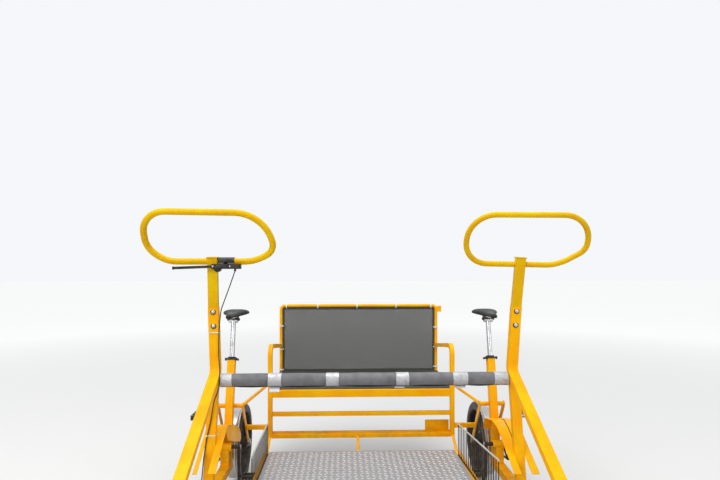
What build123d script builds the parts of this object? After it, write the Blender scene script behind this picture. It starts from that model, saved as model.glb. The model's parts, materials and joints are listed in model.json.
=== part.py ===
from build123d import *
import os
from math import acos, atan2, cos, degrees, pi, sin

# A four-wheel pedal rail car, in millimetres. X points to the right of someone who stands in
# front of it, Y points to its rear, Z points up. The origin is under the middle of the car,
# on the plane that the wheel flanges stand on. RAIL is the height of the rail heads.

RAIL = 25
STATION_X = 745

TREAD_R = 200
FLANGE_R = TREAD_R + RAIL
AXLE_Z = FLANGE_R
FRONT_AXLE_Y = -870
REAR_AXLE_Y = 580
WHEEL_BACK_X = 692
FLANGE_FACE_X = 718
WHEEL_FACE_X = 772
WHEEL_BORE_R = 10.3
WHEEL_HOLES_AT = 103
WHEEL_HOLE_R = 34
HUB_OUT_X = {"front": 780, "rear": 798}
AXLE_PIN_R = 10
AXLE_NUT_R = 16
AXLE_NUT_T = 8
PIN_END = 10

TUBE_W = 50
TUBE_D = 30
KINK = (20, 755)
KINK_X = 735
POST_TOP = (-5, 1080)
POST_TOP_X = {"left": 740, "right": 748}
LEG_END = (-651, 355)
LEG_END_X = 750
LEG_BEND_R = 60
STEM_W = 47
STEM_D = 27
STEM_TOP = (-24, 1324)
STEM_TOP_X = {"left": 740, "right": 765}
STEM_CAP_W = 54
STEM_CAP_D = 34
STEM_CAP_T = 6
LOOP_X = {"left": 742, "right": 758}
LOOP_Y = -4
LOOP_Z = 1275
LOOP_RISE = 257
LOOP_LEAN = -130
LOOP_SLANT = 288
STRUT_W = 48
STRUT_D = 30
STRUT_TOP = (4, 715)
STRUT_TOP_X = 740
STRUT_FOOT = (-85, 205)
STRUT_FOOT_X = 746

KEEL_Z = 185
KEEL_H = 40
KEEL_W = 50
KEEL_FRONT_Y = -620
KEEL_REAR_Y = 342
FORK_INNER_X = 676
FORK_OUTER_X = 788
FORK_T = 8
FORK_UPPER_W = 50
FORK_LOWER_W = 40
BRIDGE_T = 10
BRIDGE_H = 60
PIN_HOLE_X = (600, 850)

BB_Y = 265
BB_Z = 305
BB_SHELL_R = 22
BB_SHELL_HALF = 36
BB_PILLAR_W = 44
BB_PILLAR_D = 34
SPINDLE_R = 10
SPINDLE_HALF = 82
CRANK_R = 170
CRANK_OFFSET = 75
CRANK_T = 14
CRANK_W = 26
CHAIN_OFFSET = 46
PITCH = 12.7
RING_TEETH = 40
SPROCKET_TEETH = 20
RING_R = PITCH / (2 * sin(pi / RING_TEETH))
SPROCKET_R = PITCH / (2 * sin(pi / SPROCKET_TEETH))
TOOTH = 2.3
RING_WINDOW_AT = 48
RING_WINDOW_R = 16
GEAR_T = 2.4
CHAIN_PLATE_T = 1.4
CHAIN_GAP = 6.4
CHAIN_HALF_H = 4.2
CHAIN_WAIST = 2.8
ROLLER = 5.6
CLEAR_OF_RING = 44
CLEAR_OF_SPROCKET = 34
PEDAL_LENGTH = 84
PEDAL_W = 96
PEDAL_T = 24
PEDAL_WINDOW_W = 26
PEDAL_WINDOW_AT = 28
PEDAL_WALL = 10
PEDAL_GAP = 5
PEDAL_PIN_R = 6

SEAT_TUBE_FOOT = (312, 205)
SEAT_TUBE_RISE = (74, 331)
SEAT_TUBE_W = 42
SEAT_TUBE_LENGTH = 556
SLEEVE_R = 16.5
SLEEVE_LENGTH = 570
POST_R = 13.6
POST_BORE_R = 14
POST_FROM = 350
POST_TO = 772
BORE_FROM = 220
HEAD_R = 16
HEAD_HALF = 26

# Saddle: places of its plan (across, behind the clamp head), then its height over the rails.
SADDLE_PLAN = ((18, -150), (30, -30), (80, 60), (70, 108))
SADDLE_T = 38
SADDLE_RAISE = 20
SADDLE_CORNER_R = 14
SADDLE_EDGE_R = 12
SADDLE_RAIL_R = 3.7
SADDLE_RAIL_X = 22
SADDLE_RAIL_HALF = 80

COVER_W = 119
COVER_T = 3
COVER_SIDE_X = 686
COVER_SIDE_T = 2

STAY_INNER_X = 677
STAY_OUTER_X = 815
STAY_T = 6
STAY_W = 32
STAY_TOP = (405, 490)
STAY_ROD_R = 12
STAY_ARM_Y = 502
STAY_ARM_Z = 338
STAY_ARM_W = 20

# Rod from the rear stays back to the seat frame: (distance from the middle, y, z) places.
SEAT_ROD_FROM = (680, 412, 490)
SEAT_ROD_TO = (540, 1000, 541)
SEAT_ROD_R = 9

BEAM = 40
SIDE_BEAM_X = 535
SIDE_BEAM_Z = 211
LOW_BEAM_Z = 171
LOW_BEAMS_Y = (-560, -85)
CROSS_MEMBER_X = 525
CROSS_MEMBER_Z = 216
CROSS_MEMBER_H = 30
CROSS_MEMBERS_Y = (-560, -330, -85, 160, 360)
PLATE_HALF = 524
PLATE_FRONT_Y = -600
PLATE_REAR_Y = 380
PLATE_T = 4

BENCH_HALF = 548
BENCH_FRONT_Y = 500
BENCH_BACK_Y = 1050
BENCH_TUBE = 25
BENCH_LOW_Z = 289
BENCH_FOOT_Y = 541
SEAT_RAIL_Z = 541
ARM_FRONT_Z = 812
ARM_REAR_Z = 732
BACK_TOP_Z = 1008
BACK_TUBE_R = 10
BACK_LUG_Z = 984
BACK_LUG_H = 41
BACK_LUG_T = 8
BACK_LUG_END_X = 574
BRACES_X = (-538, -24, 538)
BRACE_TOP = (505, 287)
BRACE_FOOT = (372, 216)
BRACE_R = 8
CORNER_PLATE_X = (381, 523)
CORNER_PLATE_Y = 542.5
CORNER_PLATE_Z = 325
CORNER_PLATE_H = 70
CORNER_PLATE_T = 4
TOW_W = 60
TOW_T = 10
TOW_HOLE_R = 8
NET_FRONT_Y = 512.5
NET_REAR_Y = 1039
NET_T = 3

BAR_Y = 8
BAR_Z = 720.5
BAR_R = 16
BAR_HALF = 718
FOAM_R = 32
FOAM_HALF = 707

# Tape bands round the foam, from and to along X.
TAPES = ((-707, -650), (-475, -411), (-193, -131), (151, 214), (433, 505), (638, 707))

# Rails of the bench front: middle along Y, height, width along Y, height of section.
BENCH_RAILS = (
    (508, 533, 40, 41),
    (503, 413, 30, 20),
    (501, 285.5, 25, 22),
    (528.5, 288.5, 25, 25),
)

PLATE_TOP_Z = 235

# Wire guards: rear end, front end, rise of the top rod to the front, splay outwards at the front.
GUARD_X = 529
GUARD_TOP_Z = 403
GUARD_ROD_R = 4
GUARD_PITCH = 33
GUARD_WIRE = 3.6
GUARDS = {"left": (348, -160, 0, 0), "right": (300, -370, 50, 22)}

# Wheel section from its inner side round the rim to its outer side: (x, radius) places.
WHEEL_PROFILE = (
    (684, WHEEL_BORE_R),
    (684, 30),
    (736, 34),
    (736, 172),
    (FLANGE_FACE_X - 20, 176),
    (WHEEL_BACK_X, 184),
    (WHEEL_BACK_X, 215),
    (WHEEL_BACK_X + 8, FLANGE_R),
    (WHEEL_BACK_X + 16, FLANGE_R),
    (FLANGE_FACE_X, TREAD_R + 3),
    (FLANGE_FACE_X + 4, TREAD_R),
    (WHEEL_FACE_X - 3, TREAD_R),
    (WHEEL_FACE_X, TREAD_R - 3),
    (WHEEL_FACE_X, 178),
    (748, 172),
    (748, 34),
)

SIDES = (("left", -1), ("right", 1))

os.makedirs("parts", exist_ok=True)


def save(piece, name):
    piece.part.label = name
    export_step(piece.part, f"parts/{name}.step")


def beam(start, end, width, depth, across=(1, 0, 0), mode=Mode.ADD):
    """Adds a bar of rectangular section from start to end to the part in hand."""
    line = Vector(*end) - Vector(*start)
    with BuildSketch(Plane(origin=start, x_dir=across, z_dir=line)) as section:
        Rectangle(width, depth)
    extrude(section.sketch, amount=line.length, mode=mode)


def rod(start, end, radius, mode=Mode.ADD):
    """Adds or cuts a round bar from start to end."""
    line = Vector(*end) - Vector(*start)
    with BuildSketch(Plane(origin=start, z_dir=line)) as section:
        Circle(radius)
    extrude(section.sketch, amount=line.length, mode=mode)


def bent_rod(points, bends, radius, close=False):
    """Adds a round bar along a line of points whose corners are rounded."""
    with BuildLine() as path:
        FilletPolyline(points, radius=bends, close=close)
    line = path.line
    with BuildSketch(Plane(origin=line @ 0, z_dir=line % 0)) as section:
        Circle(radius)
    sweep(section.sketch, path=line)


def bent_beam(points, bends, width, depth):
    """Adds a rectangular bar along a line that stays in one upright plane."""
    with BuildLine() as path:
        FilletPolyline(points, radius=bends)
    line = path.line
    with BuildSketch(Plane(origin=line @ 0, x_dir=(1, 0, 0), z_dir=line % 0)) as section:
        Rectangle(width, depth)
    sweep(section.sketch, path=line)


def stay_bar(x_middle, thickness, start, end, width):
    """Adds a flat bar with round ends between two (y, z) places."""
    line = Vector(*end) - Vector(*start)
    middle = (Vector(*end) + Vector(*start)) / 2
    plane = Plane(origin=(x_middle - thickness / 2, 0, 0), x_dir=(0, 1, 0), z_dir=(1, 0, 0))
    with BuildSketch(plane) as section:
        with Locations((middle.X, middle.Y)):
            SlotCenterToCenter(line.length, width, rotation=degrees(atan2(line.Y, line.X)))
    extrude(section.sketch, amount=thickness)


# Sloping seat tube: a length along it as a place in the car.
RISE = Vector(0, *SEAT_TUBE_RISE).normalized()


def on_seat_tube(x, length):
    return tuple(Vector(x, *SEAT_TUBE_FOOT) + RISE * length)


# Handlebar loops seen square on: (outboard, up) places and the bend at each, then the tube's radius.
LOOPS = {
    "left": (
        [(219, 30), (304.5, 100.5), (304.5, 289), (-255, 281), (-308, 88.5), (-200, 30)],
        [140, 110, 112, 175, 68, 200],
        15.5,
    ),
    "right": (
        [(194, 10.5), (323, 92.5), (323, 275.7), (-271, 277), (-273, 21)],
        [200, 65, 142, 130, 118],
        13.7,
    ),
}

# Brake cable: places along it and the bends between them.
CABLE_R = 2.5
CABLE_ROUTE = [
    (-625, -50, 1263),
    (-650, -50, 1190),
    (-700, -27, 1066),
    (-711.5, -16, 967),
    (-716, -7, 850),
    (-706, -22, 775),
    (-706, -38, 690),
    (-730, -40, 630),
    (-743, -47, 538),
    (-760, -61, 451),
    (-769, -80, 363),
    (-774, -100, 250),
    (-760, -150, 208),
    (-760, -590, 208),
    (-764.8, -641, 262),
]
CABLE_BENDS = [150, 150, 150, 150, 100, 100, 100, 150, 150, 150, 60, 60, 60]

# Sheet covers over the chainrings: (y, z) places along the sheet and the bends between them.
COVERS = {
    "left": ([(-185, 350), (60, 487), (235, 427), (352, 380)], [90, 300]),
    "right": ([(-160, 320), (100, 447), (200, 455), (345, 425), (368, 360)], [120, 120, 60]),
}

# Side wall of the left cover, from its front top corner round: (y, z) places.
COVER_SIDE = [
    (20, 464),
    (60, 482),
    (235, 427),
    (314, 394),
    (352, 378),
    (380, 346),
    (398, 309),
    (369, 299),
    (209, 353),
    (70, 405),
]

LEG_DIRECTION = Vector(0, LEG_END[0] - KINK[0], LEG_END[1] - KINK[1]).normalized()


# The chain's pitch line: round the back of the chainring, the lower run, round the sprocket and
# the upper run. Angles are measured in the upright plane, from the car's rear upwards.
CENTRES = ((REAR_AXLE_Y - BB_Y) ** 2 + (AXLE_Z - BB_Z) ** 2) ** 0.5
SLOPE = atan2(AXLE_Z - BB_Z, REAR_AXLE_Y - BB_Y)
CONTACT = acos((RING_R - SPROCKET_R) / CENTRES)
CHAIN_STRAIGHT = CENTRES * sin(CONTACT)
CHAIN_BACK = RING_R * (2 * pi - 2 * CONTACT)
CHAIN_NOSE = SPROCKET_R * 2 * CONTACT
CHAIN_LENGTH = CHAIN_BACK + CHAIN_NOSE + 2 * CHAIN_STRAIGHT
LINKS = 82


def on_circle(centre, radius, angle):
    return centre[0] + radius * cos(angle), centre[1] + radius * sin(angle)


def on_chain(distance):
    """Gives the (y, z) place and the outward angle at a distance along the chain."""
    ring = (BB_Y, BB_Z)
    sprocket = (REAR_AXLE_Y, AXLE_Z)
    if distance < CHAIN_BACK:
        angle = SLOPE + CONTACT + distance / RING_R
        return on_circle(ring, RING_R, angle), angle
    distance -= CHAIN_BACK
    if distance < CHAIN_STRAIGHT:
        angle = SLOPE - CONTACT
        start = on_circle(ring, RING_R, angle)
        return on_circle(start, distance, angle + pi / 2), angle
    distance -= CHAIN_STRAIGHT
    if distance < CHAIN_NOSE:
        angle = SLOPE - CONTACT + distance / SPROCKET_R
        return on_circle(sprocket, SPROCKET_R, angle), angle
    distance -= CHAIN_NOSE
    angle = SLOPE + CONTACT
    start = on_circle(sprocket, SPROCKET_R, angle)
    return on_circle(start, distance, angle + pi / 2), angle


def gear_outline(pitch_r, teeth, centre):
    """Gives the outline of a toothed plate as (y, z) places."""
    outline = []
    for tooth in range(teeth):
        for turn, reach in ((-0.28, -TOOTH), (-0.1, TOOTH), (0.1, TOOTH), (0.28, -TOOTH)):
            outline.append(on_circle(centre, pitch_r + reach, 2 * pi * (tooth + turn) / teeth))
    return outline


def upright_plane(at_x):
    """Gives the plane at one x in which (y, z) places can be drawn; it faces +X."""
    return Plane(origin=(at_x, 0, 0), x_dir=(0, 1, 0), z_dir=(1, 0, 0))


uprights = []
lower_frames = {}
rear_stays = {}

for side, s in SIDES:
    x = s * STATION_X
    post_top = (s * POST_TOP_X[side], *POST_TOP)
    stem_top = (s * STEM_TOP_X[side], *STEM_TOP)

    # Handlebar: one tube bent to a closed loop that leans away from the rider.
    corners, bends, tube_r = LOOPS[side]
    loop_x = s * LOOP_X[side]
    lean = LOOP_LEAN / LOOP_SLANT
    rise = LOOP_RISE / LOOP_SLANT
    loop_points = [(loop_x + s * u, LOOP_Y + lean * v, LOOP_Z + rise * v) for u, v in corners]
    with BuildPart() as handlebar:
        bent_rod(loop_points, bends, tube_r, close=True)
    save(handlebar, f"handlebar_{side}")

    # Bent main tube: the steering post's lower half and the long leg to the front wheel.
    with BuildPart() as post_leg:
        bent_beam(
            [post_top, (s * KINK_X, *KINK), (s * LEG_END_X, *LEG_END)],
            LEG_BEND_R,
            TUBE_W,
            TUBE_D,
        )
    save(post_leg, f"post_leg_{side}")

    # Narrower stem that stands in the post, with its cap plate and a notch for the handlebar.
    with BuildPart() as stem:
        beam(post_top, stem_top, STEM_W, STEM_D)
        stem_line = Vector(*stem_top) - Vector(*post_top)
        beam(
            tuple(Vector(*stem_top) - stem_line.normalized() * STEM_CAP_T),
            stem_top,
            STEM_CAP_W,
            STEM_CAP_D,
        )
        rod(loop_points[0], loop_points[-1], tube_r + 0.2, mode=Mode.SUBTRACT)
        add(post_leg.part, mode=Mode.SUBTRACT)
    save(stem, f"stem_{side}")

    # Upright strut between the bend and the lower frame.
    with BuildPart() as strut:
        beam((s * STRUT_FOOT_X, *STRUT_FOOT), (s * STRUT_TOP_X, *STRUT_TOP), STRUT_W, STRUT_D)
        add(post_leg.part, mode=Mode.SUBTRACT)
    save(strut, f"strut_{side}")
    uprights += [post_leg.part, strut.part]

    # Lower frame: keel tube, crank bearing and the fork that holds the front wheel.
    with BuildPart() as lower_frame:
        beam((x, KEEL_FRONT_Y, KEEL_Z), (x, KEEL_REAR_Y, KEEL_Z), KEEL_W, KEEL_H)
        beam((x, BB_Y, KEEL_Z), (x, BB_Y, BB_Z), BB_PILLAR_W, BB_PILLAR_D)
        rod((x - BB_SHELL_HALF, BB_Y, BB_Z), (x + BB_SHELL_HALF, BB_Y, BB_Z), BB_SHELL_R)
        rod((x - 60, BB_Y, BB_Z), (x + 60, BB_Y, BB_Z), SPINDLE_R + 0.5, mode=Mode.SUBTRACT)
        for middle in (FORK_INNER_X, FORK_OUTER_X):
            front_axle = (FRONT_AXLE_Y, AXLE_Z)
            keel_end = (KEEL_FRONT_Y - BRIDGE_T / 2, KEEL_Z)
            stay_bar(s * middle, FORK_T, front_axle, LEG_END, FORK_UPPER_W)
            stay_bar(s * middle, FORK_T, front_axle, keel_end, FORK_LOWER_W)
        bridge_from = s * (FORK_INNER_X - FORK_T / 2)
        bridge_to = s * (FORK_OUTER_X + FORK_T / 2)
        bridge = Vector(0, *LEG_END) + LEG_DIRECTION * (BRIDGE_T / 2 - 0.6)
        beam(
            (bridge_from, bridge.Y, bridge.Z),
            (bridge_to, bridge.Y, bridge.Z),
            BRIDGE_T,
            BRIDGE_H,
            across=tuple(LEG_DIRECTION),
        )
        beam(
            (bridge_from, KEEL_FRONT_Y - BRIDGE_T / 2, KEEL_Z),
            (bridge_to, KEEL_FRONT_Y - BRIDGE_T / 2, KEEL_Z),
            BRIDGE_T,
            KEEL_H,
            across=(0, 1, 0),
        )
        rod(
            (s * PIN_HOLE_X[0], FRONT_AXLE_Y, AXLE_Z),
            (s * PIN_HOLE_X[1], FRONT_AXLE_Y, AXLE_Z),
            AXLE_PIN_R,
            mode=Mode.SUBTRACT,
        )
        add(post_leg.part, mode=Mode.SUBTRACT)
        add(strut.part, mode=Mode.SUBTRACT)
    save(lower_frame, f"lower_frame_{side}")
    lower_frames[side] = lower_frame.part

    # Seat tube: a square tube, drawn in at its top, that the seatpost slides in.
    with BuildPart() as seat_tube:
        beam(on_seat_tube(x, 0), on_seat_tube(x, SEAT_TUBE_LENGTH), SEAT_TUBE_W, SEAT_TUBE_W)
        for length, radius in (
            (SEAT_TUBE_LENGTH, SEAT_TUBE_W / 2 - 0.5),
            (SLEEVE_LENGTH, SLEEVE_R),
        ):
            with BuildSketch(Plane(origin=on_seat_tube(x, length), z_dir=RISE)):
                Circle(radius)
        loft()
        bore_from = on_seat_tube(x, BORE_FROM)
        bore_to = on_seat_tube(x, SLEEVE_LENGTH + 5)
        rod(bore_from, bore_to, POST_BORE_R, mode=Mode.SUBTRACT)
        add(lower_frame.part, mode=Mode.SUBTRACT)
    save(seat_tube, f"seat_tube_{side}")

    # Seatpost with the clamp head for the saddle rails.
    with BuildPart() as seatpost:
        rod(on_seat_tube(x, POST_FROM), on_seat_tube(x, POST_TO), POST_R)
        head = on_seat_tube(0, POST_TO + 8)
        rod((x - HEAD_HALF, head[1], head[2]), (x + HEAD_HALF, head[1], head[2]), HEAD_R)
    save(seatpost, f"seatpost_{side}")

    # Saddle with a narrow nose towards the handlebar.
    with BuildPart() as saddle:
        right_edge = [(x + across, head[1] + behind) for across, behind in SADDLE_PLAN]
        left_edge = [(x - across, head[1] + behind) for across, behind in reversed(SADDLE_PLAN)]
        rail_z = head[2] + SADDLE_RAISE
        with BuildSketch(Plane.XY.offset(rail_z)) as saddle_plan:
            with BuildLine():
                Polyline(*right_edge, *left_edge, close=True)
            make_face()
            fillet(saddle_plan.vertices(), SADDLE_CORNER_R)
        extrude(amount=SADDLE_T)
        fillet(saddle.edges().group_by(Axis.Z)[-1], SADDLE_EDGE_R)
        for rail_x in (x - SADDLE_RAIL_X, x + SADDLE_RAIL_X):
            rod(
                (rail_x, head[1] - SADDLE_RAIL_HALF, rail_z),
                (rail_x, head[1] + SADDLE_RAIL_HALF, rail_z),
                SADDLE_RAIL_R,
            )
    save(saddle, f"saddle_{side}")

    # Sheet cover over the chainring, welded round the strut and the seat tube; the left one has a
    # side wall towards the floor.
    cover_line, cover_bends = COVERS[side]
    with BuildPart() as chain_cover:
        bent_beam([(x, *point) for point in cover_line], cover_bends, COVER_W, COVER_T)
        if side == "left":
            with BuildSketch(upright_plane(s * COVER_SIDE_X)):
                with BuildLine():
                    Polyline(*COVER_SIDE, close=True)
                make_face()
            extrude(amount=COVER_SIDE_T / 2, both=True)
            rod(CABLE_ROUTE[9], CABLE_ROUTE[10], CABLE_R + 1.5, mode=Mode.SUBTRACT)
        add(seat_tube.part, mode=Mode.SUBTRACT)
        add(strut.part, mode=Mode.SUBTRACT)
    save(chain_cover, f"chain_cover_{side}")

    # Rear stays: plates each side of the wheel, joined behind the seat tube, with the arm and the
    # rod that carry the bench.
    with BuildPart() as rear_stay:
        for middle in (STAY_INNER_X, STAY_OUTER_X):
            stay_bar(s * middle, STAY_T, STAY_TOP, (REAR_AXLE_Y, AXLE_Z), STAY_W)
        stay_from = s * (STAY_INNER_X - STAY_T / 2)
        stay_to = s * (STAY_OUTER_X + STAY_T / 2)
        rod((stay_from, *STAY_TOP), (stay_to, *STAY_TOP), STAY_ROD_R)
        beam(
            (s * BENCH_HALF, STAY_ARM_Y, STAY_ARM_Z),
            (stay_from, STAY_ARM_Y, STAY_ARM_Z),
            STAY_ARM_W,
            BENCH_TUBE,
            across=(0, 1, 0),
        )
        rod(
            (s * SEAT_ROD_FROM[0], *SEAT_ROD_FROM[1:]),
            (s * SEAT_ROD_TO[0], *SEAT_ROD_TO[1:]),
            SEAT_ROD_R,
        )
        rod(
            (s * PIN_HOLE_X[0], REAR_AXLE_Y, AXLE_Z),
            (s * PIN_HOLE_X[1], REAR_AXLE_Y, AXLE_Z),
            AXLE_PIN_R,
            mode=Mode.SUBTRACT,
        )
        add(seat_tube.part, mode=Mode.SUBTRACT)
    save(rear_stay, f"rear_stay_{side}")
    rear_stays[side] = rear_stay.part

    # Crankset: spindle, one arm down on the inner side, one arm up on the outer side, chainring.
    inner_x = x - s * CRANK_OFFSET
    outer_x = x + s * CRANK_OFFSET
    low_pedal = (BB_Y, BB_Z - CRANK_R)
    high_pedal = (BB_Y, BB_Z + CRANK_R)
    pin_far = CRANK_T / 2 + PEDAL_GAP + PEDAL_LENGTH
    with BuildPart() as crankset:
        rod((x - SPINDLE_HALF, BB_Y, BB_Z), (x + SPINDLE_HALF, BB_Y, BB_Z), SPINDLE_R)
        stay_bar(inner_x, CRANK_T, (BB_Y, BB_Z), low_pedal, CRANK_W)
        stay_bar(outer_x, CRANK_T, (BB_Y, BB_Z), high_pedal, CRANK_W)
        rod((inner_x, *low_pedal), (inner_x - s * pin_far, *low_pedal), PEDAL_PIN_R)
        rod((outer_x, *high_pedal), (outer_x + s * pin_far, *high_pedal), PEDAL_PIN_R)
        ring_x = x + s * CHAIN_OFFSET
        with BuildSketch(upright_plane(ring_x)):
            with BuildLine():
                Polyline(*gear_outline(RING_R, RING_TEETH, (BB_Y, BB_Z)), close=True)
            make_face()
            with Locations((BB_Y, BB_Z)):
                with PolarLocations(RING_WINDOW_AT, 5):
                    Circle(RING_WINDOW_R, mode=Mode.SUBTRACT)
        extrude(amount=GEAR_T / 2, both=True)
        rod((ring_x - s * 4, BB_Y, BB_Z), (ring_x + s * 20, BB_Y, BB_Z), 20)
    save(crankset, f"crankset_{side}")

    # Pedals: a bearing barrel inside an open rectangular cage.
    for name, arm_x, direction, centre in (
        ("inner", inner_x, -s, low_pedal),
        ("outer", outer_x, s, high_pedal),
    ):
        start = arm_x + direction * (CRANK_T / 2 + PEDAL_GAP)
        end = start + direction * PEDAL_LENGTH
        with BuildPart() as pedal:
            beam((start, *centre), (end, *centre), PEDAL_W, PEDAL_T, across=(0, 1, 0))
            wall = direction * PEDAL_WALL
            for window_y in (centre[0] - PEDAL_WINDOW_AT, centre[0] + PEDAL_WINDOW_AT):
                beam(
                    (start + wall, window_y, centre[1]),
                    (end - wall, window_y, centre[1]),
                    PEDAL_WINDOW_W,
                    2 * PEDAL_T,
                    across=(0, 1, 0),
                    mode=Mode.SUBTRACT,
                )
            rod((start, *centre), (end, *centre), PEDAL_PIN_R + 0.4, mode=Mode.SUBTRACT)
        save(pedal, f"pedal_{side}_{name}")

    # Drive chain: waisted plates outside, a plain band inside, rollers on the two straight runs.
    outer_face = s * (CHAIN_GAP / 2 + CHAIN_PLATE_T / 2)
    with BuildPart() as chain:
        for plate_x, places, waist in (
            (ring_x + outer_face, 2 * LINKS, CHAIN_WAIST),
            (ring_x - outer_face, LINKS, CHAIN_HALF_H),
        ):
            with BuildSketch(upright_plane(plate_x)):
                for sign, mode in ((1, Mode.ADD), (-1, Mode.SUBTRACT)):
                    edge = []
                    for step in range(places):
                        place, angle = on_chain(CHAIN_LENGTH * step / places)
                        grow = sign * (waist if step % 2 else CHAIN_HALF_H)
                        edge.append(on_circle(place, grow, angle))
                    with BuildLine():
                        Polyline(*edge, close=True)
                    make_face(mode=mode)
            extrude(amount=CHAIN_PLATE_T / 2, both=True)
        count = int((CHAIN_STRAIGHT - CLEAR_OF_RING - CLEAR_OF_SPROCKET) / PITCH)
        for run_start in (
            CHAIN_BACK + CLEAR_OF_RING,
            CHAIN_LENGTH - CHAIN_STRAIGHT + CLEAR_OF_SPROCKET,
        ):
            for step in range(count + 1):
                place, angle = on_chain(run_start + step * PITCH)
                beam(
                    (ring_x - CHAIN_GAP / 2, *place),
                    (ring_x + CHAIN_GAP / 2, *place),
                    ROLLER,
                    ROLLER,
                    across=(0, cos(angle), sin(angle)),
                )
    save(chain, f"chain_{side}")

    # Wheels: tread, flange, disc with round holes, hub; the rear ones carry a sprocket.
    for end_name, axle_y in (("front", FRONT_AXLE_Y), ("rear", REAR_AXLE_Y)):
        wheel_plane = Plane(origin=(0, axle_y, AXLE_Z), x_dir=(1, 0, 0), z_dir=(0, -1, 0))
        hub_out = HUB_OUT_X[end_name]
        profile = [*WHEEL_PROFILE, (hub_out, 30), (hub_out, WHEEL_BORE_R)]
        with BuildPart() as wheel:
            with BuildSketch(wheel_plane):
                Polygon(*[(s * px, pr) for px, pr in profile], align=None)
            revolve(axis=Axis((0, axle_y, AXLE_Z), (1, 0, 0)))
            hole_plane = Plane(origin=(s * 700, axle_y, AXLE_Z), x_dir=(0, 1, 0), z_dir=(s, 0, 0))
            with BuildSketch(hole_plane):
                with PolarLocations(WHEEL_HOLES_AT, 5):
                    Circle(WHEEL_HOLE_R)
            extrude(amount=80, mode=Mode.SUBTRACT)
            if end_name == "rear":
                with BuildSketch(upright_plane(ring_x)):
                    with BuildLine():
                        Polyline(*gear_outline(SPROCKET_R, SPROCKET_TEETH, (axle_y, AXLE_Z)), close=True)
                    make_face()
                extrude(amount=GEAR_T / 2, both=True)
                hub_cut = ((ring_x - 5, axle_y, AXLE_Z), (ring_x + 5, axle_y, AXLE_Z))
                rod(*hub_cut, WHEEL_BORE_R, mode=Mode.SUBTRACT)
        save(wheel, f"wheel_{end_name}_{side}")

    # Fixed axle pins with a nut at each end.
    with BuildPart() as axle_pins:
        for axle_y, first, last in (
            (FRONT_AXLE_Y, FORK_INNER_X - FORK_T / 2, FORK_OUTER_X + FORK_T / 2),
            (REAR_AXLE_Y, STAY_INNER_X - STAY_T / 2, STAY_OUTER_X + STAY_T / 2),
        ):
            pin_from = (s * (first - PIN_END), axle_y, AXLE_Z)
            pin_to = (s * (last + PIN_END), axle_y, AXLE_Z)
            rod(pin_from, pin_to, AXLE_PIN_R)
            for nut_x in (first - AXLE_NUT_T, last):
                nut_from = (s * nut_x, axle_y, AXLE_Z)
                nut_to = (s * (nut_x + AXLE_NUT_T), axle_y, AXLE_Z)
                rod(nut_from, nut_to, AXLE_NUT_R)
    save(axle_pins, f"axle_pins_{side}")

    # Wire guard between the bench floor and the pedals.
    guard_rear_y, guard_front_y, rise_front, splay = GUARDS[side]
    with BuildPart() as guard:
        top_rear = (s * GUARD_X, guard_rear_y, GUARD_TOP_Z)
        top_front = (s * (GUARD_X + splay), guard_front_y, GUARD_TOP_Z + rise_front)
        low_z = SIDE_BEAM_Z + BEAM / 2 + GUARD_ROD_R
        low_rear = (s * GUARD_X, guard_rear_y, low_z)
        low_front = (s * (GUARD_X + splay), guard_front_y, low_z)
        rod(top_rear, top_front, GUARD_ROD_R)
        rod(low_rear, low_front, GUARD_ROD_R)
        count = round((guard_rear_y - guard_front_y) / GUARD_PITCH)
        for step in range(count + 1):
            share = step / count
            low = Vector(*low_rear) + (Vector(*low_front) - Vector(*low_rear)) * share
            top = Vector(*top_rear) + (Vector(*top_front) - Vector(*top_rear)) * share
            beam(tuple(low), tuple(top), GUARD_WIRE, GUARD_WIRE)
    save(guard, f"guard_{side}")

# Lower cross beams and the floor's side beams in one welded frame.
KEEL_INNER_X = STATION_X - KEEL_W / 2
with BuildPart() as floor_frame:
    for s in (-1, 1):
        beam(
            (s * SIDE_BEAM_X, PLATE_FRONT_Y + 10, SIDE_BEAM_Z),
            (s * SIDE_BEAM_X, PLATE_REAR_Y, SIDE_BEAM_Z),
            BEAM,
            BEAM,
        )
    for low_y in LOW_BEAMS_Y:
        low_from = (-KEEL_INNER_X, low_y, LOW_BEAM_Z)
        low_to = (KEEL_INNER_X, low_y, LOW_BEAM_Z)
        beam(low_from, low_to, BEAM, BEAM, across=(0, 1, 0))
    for cross_y in CROSS_MEMBERS_Y:
        cross_from = (-CROSS_MEMBER_X, cross_y, CROSS_MEMBER_Z)
        cross_to = (CROSS_MEMBER_X, cross_y, CROSS_MEMBER_Z)
        beam(cross_from, cross_to, BEAM, CROSS_MEMBER_H, across=(0, 1, 0))
save(floor_frame, "floor_frame")

# Chequer plate floor.
with BuildPart() as floor_plate:
    with BuildSketch(Plane.XY.offset(PLATE_TOP_Z - PLATE_T)):
        with Locations((0, (PLATE_FRONT_Y + PLATE_REAR_Y) / 2)):
            Rectangle(2 * PLATE_HALF, PLATE_REAR_Y - PLATE_FRONT_Y)
    extrude(amount=PLATE_T)
save(floor_plate, "floor_plate")

# Padded bar between the two posts, coped round the legs and struts.
with BuildPart() as crossbar:
    rod((-BAR_HALF, BAR_Y, BAR_Z), (BAR_HALF, BAR_Y, BAR_Z), BAR_R)
    for upright in uprights:
        add(upright, mode=Mode.SUBTRACT)
save(crossbar, "crossbar")

with BuildPart() as crossbar_foam:
    rod((-FOAM_HALF, BAR_Y, BAR_Z), (FOAM_HALF, BAR_Y, BAR_Z), FOAM_R)
    rod((-BAR_HALF, BAR_Y, BAR_Z), (BAR_HALF, BAR_Y, BAR_Z), BAR_R + 0.3, mode=Mode.SUBTRACT)
save(crossbar_foam, "crossbar_foam")

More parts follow.
